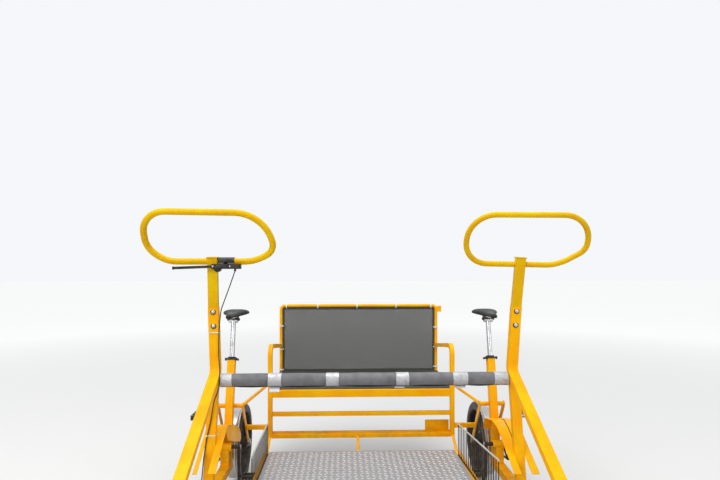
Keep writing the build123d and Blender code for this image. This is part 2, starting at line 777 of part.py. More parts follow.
with BuildPart() as crossbar_tape:
    for tape_from, tape_to in TAPES:
        rod((tape_from, BAR_Y, BAR_Z), (tape_to, BAR_Y, BAR_Z), FOAM_R + 1.2)
    rod((-BAR_HALF, BAR_Y, BAR_Z), (BAR_HALF, BAR_Y, BAR_Z), FOAM_R + 0.3, mode=Mode.SUBTRACT)
save(crossbar_tape, "crossbar_tape")

# Ladder-like front of the bench, with a small plate behind its lower right corner.
with BuildPart() as bench_front:
    inner_half = BENCH_HALF - BENCH_TUBE
    for middle_y, rail_z, rail_w, rail_d in BENCH_RAILS:
        beam(
            (-inner_half, middle_y, rail_z),
            (inner_half, middle_y, rail_z),
            rail_w,
            rail_d,
            across=(0, 1, 0),
        )
    beam(
        (CORNER_PLATE_X[0], CORNER_PLATE_Y, CORNER_PLATE_Z),
        (CORNER_PLATE_X[1], CORNER_PLATE_Y, CORNER_PLATE_Z),
        CORNER_PLATE_T,
        CORNER_PLATE_H,
        across=(0, 1, 0),
    )
save(bench_front, "bench_front")

# Backrest hoop that stands on the seat frame, with its cross tube and a lug at its right.
with BuildPart() as backrest_frame:
    hoop_x = BENCH_HALF - BACK_TUBE_R
    bent_rod(
        [
            (-hoop_x, BENCH_BACK_Y, SEAT_RAIL_Z - BENCH_TUBE / 2),
            (-hoop_x, BENCH_BACK_Y, BACK_TOP_Z),
            (hoop_x, BENCH_BACK_Y, BACK_TOP_Z),
            (hoop_x, BENCH_BACK_Y, SEAT_RAIL_Z - BENCH_TUBE / 2),
        ],
        30,
        BACK_TUBE_R,
    )
    cross_from = (-hoop_x, BENCH_BACK_Y, SEAT_RAIL_Z)
    cross_to = (hoop_x, BENCH_BACK_Y, SEAT_RAIL_Z)
    rod(cross_from, cross_to, BACK_TUBE_R)
    beam(
        (hoop_x + 6, BENCH_BACK_Y, BACK_LUG_Z),
        (BACK_LUG_END_X, BENCH_BACK_Y, BACK_LUG_Z),
        BACK_LUG_T,
        BACK_LUG_H,
        across=(0, 1, 0),
    )
save(backrest_frame, "backrest_frame")

bench_ends = []
for side, s in SIDES:
    # Bench end: front post with a short foot, arm and seat rail in one welded frame.
    bench_x = s * (BENCH_HALF - BENCH_TUBE / 2)
    with BuildPart() as bench_end:
        bent_beam(
            [
                (bench_x, BENCH_FRONT_Y, BENCH_LOW_Z - BENCH_TUBE / 2),
                (bench_x, BENCH_FRONT_Y, ARM_FRONT_Z),
                (bench_x, BENCH_BACK_Y - NET_T, ARM_REAR_Z),
            ],
            50,
            BENCH_TUBE,
            BENCH_TUBE,
        )
        for rail_z, rail_end_y in (
            (BENCH_LOW_Z, BENCH_FOOT_Y),
            (SEAT_RAIL_Z, BENCH_BACK_Y - NET_T),
        ):
            beam(
                (bench_x, BENCH_FRONT_Y, rail_z),
                (bench_x, rail_end_y, rail_z),
                BENCH_TUBE,
                BENCH_TUBE,
            )
        add(backrest_frame.part, mode=Mode.SUBTRACT)
        add(rear_stays[side], mode=Mode.SUBTRACT)
    save(bench_end, f"bench_end_{side}")
    bench_ends.append(bench_end.part)

# Braces from the bench down to the rear edge of the floor.
with BuildPart() as bench_braces:
    for brace_x in BRACES_X:
        rod((brace_x, *BRACE_TOP), (brace_x, *BRACE_FOOT), BRACE_R)
    for joined in (bench_front.part, floor_frame.part, *bench_ends):
        add(joined, mode=Mode.SUBTRACT)
save(bench_braces, "bench_braces")

# Net seat and net back as thin closed panels.
with BuildPart() as seat_net:
    with BuildSketch(Plane.XY.offset(SEAT_RAIL_Z + BENCH_TUBE / 2)):
        with Locations((0, (NET_FRONT_Y + NET_REAR_Y) / 2)):
            Rectangle(2 * BENCH_HALF - 8, NET_REAR_Y - NET_FRONT_Y)
    extrude(amount=NET_T)
save(seat_net, "seat_net")

with BuildPart() as back_net:
    with BuildSketch(Plane(origin=(0, BENCH_BACK_Y, 0), x_dir=(1, 0, 0), z_dir=(0, -1, 0))):
        with Locations((0, (SEAT_RAIL_Z + BACK_TOP_Z) / 2)):
            Rectangle(
                2 * (BENCH_HALF - 2 * BACK_TUBE_R),
                BACK_TOP_Z - SEAT_RAIL_Z - 2 * BACK_TUBE_R,
            )
    extrude(amount=NET_T / 2, both=True)
    add(backrest_frame.part, mode=Mode.SUBTRACT)
save(back_net, "back_net")

# Towing lugs: a plate with a hole on the seat frame's rear tube and one on the front cross beam.
with BuildPart() as tow_rear:
    beam((0, BENCH_BACK_Y, SEAT_RAIL_Z), (0, 1095, SEAT_RAIL_Z), TOW_W, TOW_T)
    rod((0, 1075, SEAT_RAIL_Z - 20), (0, 1075, SEAT_RAIL_Z + 20), TOW_HOLE_R, mode=Mode.SUBTRACT)
    add(backrest_frame.part, mode=Mode.SUBTRACT)
save(tow_rear, "tow_lug_rear")

with BuildPart() as tow_front:
    beam((0, -580, LOW_BEAM_Z), (0, -640, LOW_BEAM_Z), TOW_W, TOW_T)
    rod((0, -616, LOW_BEAM_Z - 20), (0, -616, LOW_BEAM_Z + 20), TOW_HOLE_R, mode=Mode.SUBTRACT)
save(tow_front, "tow_lug_front")

# Brake lever on the left handlebar: clamp round the tube, body under it, round reservoir, blade.
BAR_UP = LOOPS["left"][0][0][1] / LOOP_SLANT
LEVER_AT = (LOOP_Y + LOOP_LEAN * BAR_UP, LOOP_Z + LOOP_RISE * BAR_UP)
LEVER_CLAMP = ((-713, *LEVER_AT), (-636, *LEVER_AT))
LEVER_CLAMP_R = 20.5
LEVER_FEET_X = (-698, -650)
LEVER_BODY = ((-738, -50, 1277.5), (-598, -50, 1277.5))
LEVER_BLADE = ((-734, -58, 1277), (-913, -72, 1270))
with BuildPart() as brake_lever:
    rod(*LEVER_CLAMP, LEVER_CLAMP_R)
    for foot_x in LEVER_FEET_X:
        beam((foot_x, -24, 1297), (foot_x, -46, 1281), 28, 16)
    beam(*LEVER_BODY, 20, 24, across=(0, 1, 0))
    rod((-708, -42, 1268), (-708, -66, 1268), 17)
    beam(*LEVER_BLADE, 5, 13, across=(0, 1, 0))
    rod((-740, *LEVER_AT), (-600, *LEVER_AT), LOOPS["left"][2] + 0.2, mode=Mode.SUBTRACT)
save(brake_lever, "brake_lever")

# Brake shoe behind the left front wheel, on an arm that stands on the plate at the keel's end.
SHOE_X = -747
SHOE_R = TREAD_R + 6
SHOE_T = 16
SHOE_HALF_W = 20
with BuildPart() as brake_shoe:
    with BuildSketch(upright_plane(SHOE_X)):
        with Locations((FRONT_AXLE_Y, AXLE_Z)):
            Circle(SHOE_R + SHOE_T)
            Circle(SHOE_R, mode=Mode.SUBTRACT)
        with Locations((-680, 290)):
            Rectangle(80, 56, mode=Mode.INTERSECT)
    extrude(amount=SHOE_HALF_W, both=True)
    beam((SHOE_X, -657, 290), (SHOE_X, -625, 197), 30, 8)
    add(lower_frames["left"], mode=Mode.SUBTRACT)
save(brake_shoe, "brake_shoe")

# Brake cable: down the post, past the leg, in front of the strut and forwards on the keel.
with BuildPart() as brake_cable:
    bent_rod(CABLE_ROUTE, CABLE_BENDS, CABLE_R)
save(brake_cable, "brake_cable")
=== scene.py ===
import json
import math
import random

import bmesh
import bpy
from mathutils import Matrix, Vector


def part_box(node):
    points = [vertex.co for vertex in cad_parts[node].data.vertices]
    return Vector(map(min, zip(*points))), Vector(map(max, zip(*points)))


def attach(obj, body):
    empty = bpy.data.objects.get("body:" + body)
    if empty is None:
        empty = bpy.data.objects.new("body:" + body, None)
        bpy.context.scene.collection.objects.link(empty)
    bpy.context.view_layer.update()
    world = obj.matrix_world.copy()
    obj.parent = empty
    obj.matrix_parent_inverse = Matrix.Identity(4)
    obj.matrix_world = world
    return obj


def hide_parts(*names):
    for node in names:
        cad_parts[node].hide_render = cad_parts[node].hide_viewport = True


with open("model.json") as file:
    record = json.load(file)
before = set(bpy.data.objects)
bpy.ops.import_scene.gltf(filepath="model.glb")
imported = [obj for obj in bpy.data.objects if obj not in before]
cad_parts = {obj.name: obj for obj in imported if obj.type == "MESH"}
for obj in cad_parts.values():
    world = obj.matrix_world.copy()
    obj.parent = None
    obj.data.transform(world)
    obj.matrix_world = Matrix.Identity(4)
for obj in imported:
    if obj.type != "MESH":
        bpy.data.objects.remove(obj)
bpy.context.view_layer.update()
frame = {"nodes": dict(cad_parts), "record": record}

SIDES = (("left", -1), ("right", 1))
TINY = 1e-6

# The corners of a square, in turn.
SQUARE = ((-1, -1), (1, -1), (1, 1), (-1, 1))

# Camera, at the place from which the picture was taken.
CAMERA_PLACE = (-0.11, -2.56, 1.275)
CAMERA_YAW = math.radians(-1.87)
FOCAL_MM = 26.0
SENSOR_MM = 36.0
HORIZON_SHIFT = 27 / 720

# Places that the CAD gives, in metres.
BAR_Y, BAR_Z = 0.008, 0.7205
FOAM_HALF = 0.707
FOAM_R = 0.032
TAPES = (
    (-0.707, -0.650),
    (-0.475, -0.411),
    (-0.193, -0.131),
    (0.151, 0.214),
    (0.433, 0.505),
    (0.638, 0.707),
)
PLATE_TOP = 0.235
STATION_X = 0.745
SEAT_FOOT = Vector((0, 0.312, 0.205))
SEAT_RISE = Vector((0, 74, 331)).normalized()
AXLES = (("front", -0.87), ("rear", 0.58))
AXLE_Z = 0.225
HOOP_X, HOOP_Y, HOOP_TOP, HOOP_R = 0.538, 1.05, 1.008, 0.010
CRANK_Y, CRANK_Z = 0.265, 0.305

# Where wheels, guards and grime change from one look to the other.
WHEEL_TREAD_R, WHEEL_RIM_R = (0.1975, 0.1990), (0.2235, 0.2245)
WHEEL_TREAD_X = (0.7135, 0.7150)
GUARD_ROD_Z = (0.3972, 0.3988)
GRIME_Z = (0.62, 0.12)

PAINT_SPECULAR = 0.11
SATIN_SPECULAR = 0.3
BEVEL_SAMPLES = 6

# Cosines between the rounded and the true normal: where an edge begins to show, and fully.
LEAN_NONE, LEAN_FULL = 0.995, 0.86


def add_object(name, data):
    """A new object in the scene."""
    thing = bpy.data.objects.new(name, data)
    bpy.context.collection.objects.link(thing)
    return thing


def make_camera():
    """The camera with the picture's lens."""
    data = bpy.data.cameras.new("camera")
    data.lens = FOCAL_MM
    data.sensor_width = SENSOR_MM
    data.shift_y = HORIZON_SHIFT
    camera = add_object("camera", data)
    camera.location = CAMERA_PLACE
    camera.rotation_euler = (math.radians(90), 0, CAMERA_YAW)
    bpy.context.scene.camera = camera


MATERIALS = {}


class Nodes:
    """A new material's node tree, with one short call for each node."""

    def __init__(self, name):
        self.material = MATERIALS[name] = bpy.data.materials.new(name)
        self.material.use_nodes = True
        self.tree = self.material.node_tree
        self.shader = self.tree.nodes["Principled BSDF"]

    def put(self, socket, value):
        if isinstance(value, bpy.types.NodeSocket):
            self.tree.links.new(value, socket)
        else:
            socket.default_value = value

    def add(self, kind, inputs=(), **settings):
        node = self.tree.nodes.new("ShaderNode" + kind)
        for key, value in settings.items():
            setattr(node, key, value)
        for key, value in dict(inputs).items():
            self.put(node.inputs[key], value)
        return node

    def shade(self, **inputs):
        for key, value in inputs.items():
            self.put(self.shader.inputs[key.replace("_", " ")], value)

    def coords(self, stretch=(1, 1, 1)):
        place = self.add("TexCoord").outputs["Object"]
        if tuple(stretch) == (1, 1, 1):
            return place
        return self.add("Mapping", {"Vector": place, "Scale": stretch}).outputs["Vector"]

    def axis(self, letter):
        return self.add("SeparateXYZ", {0: self.coords()}).outputs[letter]

    def noise(self, scale, detail=4.0, rough=0.55, stretch=(1, 1, 1)):
        return self.add(
            "TexNoise",
            {"Vector": self.coords(stretch), "Scale": scale, "Detail": detail, "Roughness": rough},
        ).outputs["Fac"]

    def math(self, operation, first, second=0.0, clamp=False):
        return self.add(
            "Math", {0: first, 1: second}, operation=operation, use_clamp=clamp
        ).outputs[0]

    def times(self, first, second, clamp=False):
        return self.math("MULTIPLY", first, second, clamp)

    def ramp(self, value, low, high, start=0.0, end=1.0):
        return self.add(
            "MapRange",
            {"Value": value, "From Min": low, "From Max": high, "To Min": start, "To Max": end},
        ).outputs["Result"]

    def mix(self, share, first, second):
        node = self.add("Mix", data_type="RGBA")
        self.put(node.inputs["Factor"], share)
        self.put(node.inputs[6], first)
        self.put(node.inputs[7], second)
        return node.outputs[2]

    def bump(self, height, strength, distance=0.001, under=None):
        inputs = {"Height": height, "Strength": strength, "Distance": distance}
        if under is not None:
            inputs["Normal"] = under
        return self.add("Bump", inputs).outputs["Normal"]

    def soft_edge(self, radius):
        """The normal that rounds off sharp edges, and how near an edge the point is."""
        bevel = self.add("Bevel", {"Radius": radius}, samples=BEVEL_SAMPLES)
        round_normal = bevel.outputs["Normal"]
        true_normal = self.add("NewGeometry").outputs["Normal"]
        lean = self.add(
            "VectorMath", {0: round_normal, 1: true_normal}, operation="DOT_PRODUCT"
        ).outputs["Value"]
        return round_normal, self.ramp(lean, LEAN_NONE, LEAN_FULL)


def srgb(red, green, blue):
    """A colour given as 0 to 255 screen values, for a shader."""
    parts = [c / 255 for c in (red, green, blue)]
    return tuple(c / 12.92 if c < 0.04045 else ((c + 0.055) / 1.055) ** 2.4 for c in parts) + (1,)


MUD = srgb(122, 96, 62)
RUST_SPOT = srgb(88, 62, 34)
CHIPPED = srgb(74, 48, 32)
PLATE_DIRT, PLATE_SCUFF = srgb(128, 127, 125), srgb(222, 223, 226)
# Dust colour, and a lighter grey that is a painted highlight along the edges of black parts.
DUST, PAINTED_EDGE_HIGHLIGHT = srgb(118, 108, 92), srgb(96, 94, 92)
# Wheel black, its dust, and a lighter grey that is a painted highlight along the wheel's edges.
WHEEL_BLACK, WHEEL_DUST, WHEEL_EDGE_HIGHLIGHT = srgb(30, 30, 31), srgb(112, 92, 70), srgb(104, 98, 92)
RAIL_BRIGHT, RAIL_DULL, RAIL_STAIN = srgb(208, 208, 206), srgb(166, 163, 158), srgb(128, 112, 92)
WIRE_BROWN, WIRE_DARK, ROD_BRIGHT = srgb(58, 52, 44), srgb(38, 32, 26), srgb(206, 206, 204)
THREAD_LIGHT = srgb(60, 62, 57)
TAPE_SILVER, TAPE_DIRT = srgb(186, 187, 190), srgb(142, 142, 143)
VINYL_BLACK, VINYL_WORN = srgb(20, 20, 21), srgb(44, 42, 40)
FLOOR_PALE = srgb(212, 212, 211)


def paint(name, colour, deep, grime, rust):
    """Enamel: even colour with thin and thick places, chipped edges and grime low down."""
    m = Nodes(name)
    normal, edge = m.soft_edge(radius=0.0022)
    cloud = m.noise(7, 5)
    base = m.mix(m.ramp(cloud, 0.38, 0.66), colour, deep)
    low = m.ramp(m.axis("Z"), *GRIME_Z)
    dusty = m.times(m.ramp(m.noise(16, 8, 0.65), 0.46, 0.72), low)
    base = m.mix(m.times(dusty, grime, clamp=True), base, MUD)
    spots = m.ramp(m.noise(85, 3, 0.6), 0.73, 0.77)
    base = m.mix(m.times(spots, grime, clamp=True), base, RUST_SPOT)
    chipped = m.times(edge, m.ramp(m.noise(70, 6, 0.7), 0.52, 0.60), clamp=True)
    chipped = m.times(chipped, rust, clamp=True)
    rough = m.ramp(m.noise(28, 4), 0.3, 0.7, 0.30, 0.46)
    rough = m.math("ADD", rough, m.times(chipped, 0.3), clamp=True)
    peel = m.noise(420, 2)
    m.shade(
        Base_Color=m.mix(chipped, base, CHIPPED),
        Roughness=rough,
        Normal=m.bump(m.noise(35, 3), 0.10, 0.002, m.bump(peel, 0.06, 0.0006, normal)),
        Specular_IOR_Level=PAINT_SPECULAR,
    )


def brushed_metal(name, colour, roughness, dirt=(70, 66, 60), edge=0.001, wear=0.6, depth=0.08):
    """Bare metal with fine marks and a little dirt in patches; edge rounds its corners."""
    m = Nodes(name)
    normal = m.soft_edge(edge)[0] if edge else None
    dull = m.ramp(m.noise(26, 6, 0.65), 0.44, 0.68)
    marks = m.noise(900, 2, stretch=(0.15, 1, 1))
    m.shade(
        Base_Color=m.mix(m.times(dull, wear), colour, srgb(*dirt)),
        Metallic=1.0,
        Roughness=m.ramp(dull, 0, 1, roughness, min(1.0, roughness + 0.28)),
        Normal=m.bump(marks, depth, 0.0004, normal),
    )


def chequer_metal(name, colour):
    """Walked-on aluminium plate: half-metallic, scuffed, with trodden-in dirt."""
    m = Nodes(name)
    dirt = m.ramp(m.noise(17, 8, 0.7), 0.46, 0.74)
    scuffs = m.ramp(m.noise(60, 5, 0.7, stretch=(1, 0.35, 1)), 0.55, 0.7)
    base = m.mix(m.times(dirt, 0.35), colour, PLATE_DIRT)
    base = m.mix(m.times(scuffs, 0.4), base, PLATE_SCUFF)
    m.shade(
        Base_Color=base,
        Metallic=0.35,
        Roughness=m.ramp(dirt, 0, 1, 0.42, 0.6),
        Normal=m.bump(m.noise(700, 2), 0.1, 0.0004),
    )


def satin(name, colour, roughness, dust):
    """Coated metal or plastic with a dusty bloom and a painted highlight: lighter grey along the
    edges.
    """
    m = Nodes(name)
    normal, edge = m.soft_edge(radius=0.0012)
    bloom = m.times(m.ramp(m.noise(22, 6, 0.7), 0.42, 0.72), dust, clamp=True)
    base = m.mix(bloom, colour, DUST)
    # Painted highlight: the edges are mixed towards a lighter grey.
    base = m.mix(m.times(edge, 0.35), base, PAINTED_EDGE_HIGHLIGHT)
    m.shade(
        Base_Color=base,
        Roughness=m.ramp(bloom, 0, 1, roughness, 0.85),
        Normal=m.bump(m.noise(350, 2), 0.12, 0.0005, normal),
        Specular_IOR_Level=SATIN_SPECULAR,
    )


def wheel_paint(name, axle_y):
    """Black wheel whose tread and flange are polished bright by the rail, with a painted highlight
    along its edges.
    """
    m = Nodes(name)
    normal, edge = m.soft_edge(radius=0.0015)
    from_axle_y = m.math("SUBTRACT", m.axis("Y"), axle_y)
    from_axle_z = m.math("SUBTRACT", m.axis("Z"), AXLE_Z)
    squares = [m.math("POWER", away, 2.0) for away in (from_axle_y, from_axle_z)]
    radius = m.math("SQRT", m.math("ADD", *squares))
    across = m.math("ABSOLUTE", m.axis("X"))
    tread = m.times(
        m.ramp(radius, *WHEEL_TREAD_R), m.ramp(across, *WHEEL_TREAD_X), clamp=True
    )
    rim = m.times(m.ramp(radius, *WHEEL_RIM_R), 0.8, clamp=True)
    worn = m.math("MAXIMUM", tread, rim)
    bloom = m.times(m.ramp(m.noise(20, 7, 0.7), 0.42, 0.7), 0.65, clamp=True)
    dark = m.mix(bloom, WHEEL_BLACK, WHEEL_DUST)
    # Painted highlight: the edges are mixed towards a lighter grey.
    dark = m.mix(m.times(edge, 0.4), dark, WHEEL_EDGE_HIGHLIGHT)
    streaks = m.ramp(m.noise(240, 3, stretch=(3, 0.02, 0.02)), 0.35, 0.7)
    bright = m.mix(streaks, RAIL_BRIGHT, RAIL_DULL)
    stains = m.ramp(m.noise(14, 4, 0.6), 0.52, 0.72)
    bright = m.mix(m.times(stains, 0.45), bright, RAIL_STAIN)
    grain = m.times(m.noise(300, 3), m.ramp(worn, 0, 1, 1, 0.25))
    m.shade(
        Base_Color=m.mix(worn, dark, bright),
        Metallic=worn,
        Roughness=m.ramp(worn, 0, 1, 0.55, 0.30),
        Normal=m.bump(grain, 0.12, 0.0006, normal),
    )


def guard_metal(name, rise, rear_y):
    """Dark wires under a bright top rod, which rises towards the front."""
    m = Nodes(name)
    slope = m.times(m.math("SUBTRACT", rear_y, m.axis("Y")), rise)
    top = m.ramp(m.math("SUBTRACT", m.axis("Z"), slope), *GUARD_ROD_Z)
    dull = m.ramp(m.noise(40, 5), 0.4, 0.7)
    m.shade(
        Base_Color=m.mix(top, m.mix(dull, WIRE_BROWN, WIRE_DARK), ROD_BRIGHT),
        Metallic=m.ramp(top, 0, 1, 0.15, 0.7),
        Roughness=m.ramp(dull, 0, 1, 0.40, 0.6),
        Specular_IOR_Level=SATIN_SPECULAR,
    )


def cloth(name, colour, other):
    """Woven plastic thread with a fine grain."""
    m = Nodes(name)
    blotch = m.ramp(m.noise(12, 5), 0.35, 0.7)
    thread = m.ramp(m.noise(260, 2, stretch=(0.25, 1, 1)), 0.38, 0.62)
    base = m.mix(m.times(thread, 0.6), m.mix(blotch, colour, other), THREAD_LIGHT)
    m.shade(
        Base_Color=base,
        Roughness=m.ramp(m.noise(60, 3), 0.3, 0.7, 0.55, 0.8),
        Normal=m.bump(m.noise(1500, 2), 0.25, 0.0004),
        Sheen_Weight=0.06,
    )


def foam_material(name, colour, other):
    """Closed-cell foam: matt, finely pitted, a little scuffed."""
    m = Nodes(name)
    blotch = m.ramp(m.noise(14, 6, 0.65), 0.4, 0.7)
    pits = m.noise(900, 3, 0.7)
    m.shade(
        Base_Color=m.mix(blotch, colour, other),
        Roughness=m.ramp(blotch, 0, 1, 0.55, 0.75),
        Normal=m.bump(pits, 0.35, 0.0008),
    )


def tape_material(name):
    """Silver cloth tape with its thread grid and fine creases."""
    m = Nodes(name)
    weaves = []
    for direction in "XZ":
        inputs = {"Vector": m.coords(), "Scale": 420.0, "Distortion": 0.0}
        weaves.append(m.add("TexWave", inputs, bands_direction=direction).outputs["Fac"])
    creases = m.noise(55, 4, 0.6, stretch=(3, 1, 1))
    dirt = m.ramp(m.noise(24, 6, 0.7), 0.5, 0.75)
    m.shade(
        Base_Color=m.mix(dirt, TAPE_SILVER, TAPE_DIRT),
        Metallic=0.25,
        Roughness=m.ramp(dirt, 0, 1, 0.34, 0.6),
        Normal=m.bump(creases, 0.35, 0.001, m.bump(m.math("ADD", *weaves), 0.12, 0.0002)),
    )


def saddle_leather(name):
    """Black vinyl with a fine grain, shiny where it is sat on."""
    m = Nodes(name)
    grain = m.add("TexVoronoi", {"Vector": m.coords(), "Scale": 620.0}).outputs["Distance"]
    worn = m.ramp(m.noise(18, 5), 0.42, 0.7)
    m.shade(
        Base_Color=m.mix(worn, VINYL_BLACK, VINYL_WORN),
        Roughness=m.ramp(worn, 0, 1, 0.36, 0.55),
        Normal=m.bump(grain, 0.3, 0.0006),
        Specular_IOR_Level=0.25,
    )


def build_materials():
    """Makes all materials of the car; most have the name of their slot."""
    paint("yellow_paint", srgb(255, 190, 0), srgb(252, 170, 0), 0.5, 0.8)
    paint("olive_yellow_paint", srgb(234, 192, 0), srgb(224, 168, 0), 0.3, 0.5)
    brushed_metal("chrome_post", srgb(206, 207, 211), 0.16, edge=None, wear=0.4, depth=0.02)
    brushed_metal("bright_steel", srgb(190, 190, 188), 0.26)
    guard_metal("guard_wire_left", 0.0, 0.348)
    guard_metal("guard_wire_right", 0.05 / 0.67, 0.300)
    brushed_metal("chain_steel", srgb(112, 84, 56), 0.42, dirt=(46, 30, 18))
    chequer_metal("chequer_plate", srgb(170, 172, 176))
    chequer_metal("tread_metal", srgb(208, 210, 213))
    satin("black_metal", srgb(22, 22, 23), 0.34, 0.35)
    satin("black_plastic", srgb(26, 26, 26), 0.5, 0.5)
    saddle_leather("saddle_cover")
    wheel_paint("wheel_black_front", AXLES[0][1])
    wheel_paint("wheel_black_rear", AXLES[1][1])
    foam_material("grey_foam", srgb(112, 112, 115), srgb(92, 92, 95))
    # Near-black foam for the seam's groove, the bore and the cut ends: painted shade in the open
    # seam.
    foam_material("foam_seam_painted_shade", srgb(26, 26, 27), srgb(16, 16, 16))
    tape_material("silver_tape")
    cloth("net_cloth", srgb(42, 44, 40), srgb(30, 32, 29))
    cloth("net_hem", srgb(56, 58, 54), srgb(42, 44, 41))
    satin("white_tie", srgb(236, 234, 226), 0.5, 0.15)
    satin("cable_black", srgb(30, 30, 31), 0.4, 0.3)
    paint("weld_bead", srgb(250, 178, 0), srgb(232, 150, 0), 0.7, 1.0)


def dress_nodes():
    """Gives every carried-over node the material of its slot; wheels and guards have their own."""
    for part in frame["record"]["subparts"]:
        name = part["node"]
        look = part["material_slot"]
        if name.startswith("wheel"):
            look = "wheel_black_front" if "front" in name else "wheel_black_rear"
        if name.startswith("guard"):
            look = name.replace("guard", "guard_wire")
        node = frame["nodes"][name]
        node.data.materials.clear()
        node.data.materials.append(MATERIALS[look])


def around(direction, hint=(0, 0, 1)):
    """Two unit vectors square to a direction; the first lies as near to the hint as it can."""
    axis = Vector(direction).normalized()
    hint = Vector(hint)
    if abs(axis.dot(hint.normalized())) > 0.99:
        hint = Vector((1, 0, 0))
    first = (hint - axis * hint.dot(axis)).normalized()
    return first, axis.cross(first)


def circle(centre, up, side, radius, sides):
    """Points round a centre, in the plane of two directions."""
    turns = [math.tau * k / sides for k in range(sides)]
    return [centre + (up * math.sin(turn) + side * math.cos(turn)) * radius for turn in turns]


def rectangle(centre, first, second, width, height):
    """The four corners of a rectangle in space."""
    centre, first, second = Vector(centre), Vector(first), Vector(second)
    return [centre + first * (a * width / 2) + second * (b * height / 2) for a, b in SQUARE]


def off_axis(x, y, z, radius, turn):
    """A place at some distance from a line along X."""
    return Vector((x, y + radius * math.cos(turn), z + radius * math.sin(turn)))


WELD_STEP = 0.004


class Shape:
    """Collects the points and faces of one piece; faces in second show its second look."""

    def __init__(self):
        self.verts = []
        self.faces = []
        self.second = set()

    def rings(self, loops, joined=False, caps=True):
        """Skins a row of loops that have the same number of points."""
        first = len(self.verts)
        count = len(loops[0])
        rows = len(loops)
        for loop in loops:
            self.verts.extend(tuple(point) for point in loop)
        for row in range(rows if joined else rows - 1):
            here = first + row * count
            after = first + (row + 1) % rows * count
            for i in range(count):
                j = (i + 1) % count
                self.faces.append((here + i, here + j, after + j, after + i))
        if caps and not joined:
            self.faces.append(tuple(first + i for i in reversed(range(count))))
            self.faces.append(tuple(first + (rows - 1) * count + i for i in range(count)))

    def bar(self, start, end, width, depth, hint=(0, 0, 1)):
        """A rectangular bar; depth lies along the hint."""
        start, end = Vector(start), Vector(end)
        up, side = around(end - start, hint)
        corners = [side * (a * width / 2) + up * (b * depth / 2) for a, b in SQUARE]
        self.rings([[start + c for c in corners], [end + c for c in corners]])

    def tube(self, points, radius, sides=10, joined=False, hint=(0, 0, 1)):
        """A round tube through points; the radius may be a list."""
        points = [Vector(p) for p in points]
        radii = radius if isinstance(radius, list) else [radius] * len(points)
        loops = []
        for i, point in enumerate(points):
            before = points[i - 1] if i or joined else point
            after = points[(i + 1) % len(points)] if i + 1 < len(points) or joined else point
            up, side = around(after - before, hint)
            loops.append(circle(point, up, side, radii[i], sides))
        self.rings(loops, joined)

    def lathe(self, centre, axis, profile, sides=20, joined=False, caps=True):
        """Turns a profile of (along, radius) places round an axis."""
        centre, axis = Vector(centre), Vector(axis).normalized()
        up, side = around(axis)
        loops = [
            circle(centre + axis * along, up, side, radius, sides) for along, radius in profile
        ]
        self.rings(loops, joined, caps)

    def dome(self, centre, axis, radius, height, sides=18):
        """A round-headed bolt that stands on a face."""
        profile = [(0, radius * 1.02), (height * 0.25, radius)]
        for step in range(1, 6):
            turn = math.radians(90) * step / 6
            profile.append((height * (0.25 + 0.75 * math.sin(turn)), radius * math.cos(turn)))
        self.lathe(centre, axis, profile, sides)

    def hex_nut(self, centre, axis, radius, height):
        """A hexagon nut or head with chamfered ends."""
        profile = [
            (0, radius * 0.94),
            (height * 0.12, radius),
            (height * 0.85, radius),
            (height, radius * 0.9),
        ]
        self.lathe(centre, axis, profile, 6)

    def weld(self, corners, seed, radius=0.0022):
        """A wavy bead of weld along a closed line of corners."""
        chance = random.Random(seed)
        corners = [Vector(c) for c in corners]
        points = []
        for a, b in zip(corners, corners[1:] + corners[:1]):
            count = max(2, int((b - a).length / WELD_STEP))
            points += [a.lerp(b, i / count) for i in range(count)]
        radii = [radius * (0.8 + 0.45 * chance.random()) for _ in points]
        self.tube(points, radii, 6, joined=True, hint=(0.3, 0.5, 0.8))

    def finish(self, name, *looks, body="chassis", slot=None, sharp=35):
        """Makes the piece and puts it on its body; the slot argument is not used."""
        mesh = bpy.data.meshes.new(name)
        mesh.from_pydata(self.verts, [], self.faces)
        mesh.validate()
        for look in looks:
            mesh.materials.append(MATERIALS[look])
        for index in self.second:
            mesh.polygons[index].material_index = 1
        for face in mesh.polygons:
            face.use_smooth = True
        mesh.set_sharp_from_angle(angle=math.radians(sharp))
        piece = add_object(name, mesh)
        turn_outwards(piece)
        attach(piece, body)
        return piece


def turn_outwards(piece):
    """Makes the normals of a closed piece point out of it."""
    work = bmesh.new()
    work.from_mesh(piece.data)
    bmesh.ops.recalc_face_normals(work, faces=work.faces)
    work.to_mesh(piece.data)
    work.free()


def on_seat_tube(x, length):
    """The place on the middle line of a seat tube, at a distance from its foot."""
    return Vector((x, 0, 0)) + SEAT_FOOT + SEAT_RISE * length


NET_STRANDS = (
    # which way the strands run, their pitch, their width and the number of steps along them
    ("weft", 0.0052, 0.0042, 22),
    ("warp", 0.0060, 0.0018, 14),
)
NET_STRAND_T = 0.0008
NET_HEM_W, NET_HEM_T = 0.016, 0.0026
BACK_NET_LOW = 0.551
SEAT_NET_SIDE, SEAT_NET_FRONT, SEAT_NET_REAR, SEAT_NET_Z = 0.544, 0.5125, 1.039, 0.5555
TIE_W, TIE_T = 0.009, 0.0022
TIE_GAP = 0.004
TIES_TOP_X = (-0.50, -0.284, -0.013, 0.258, 0.50)
TIES_SIDE_Z = ((-1, (0.869, 0.709, 0.568)), (1, (0.858, 0.720, 0.584)))


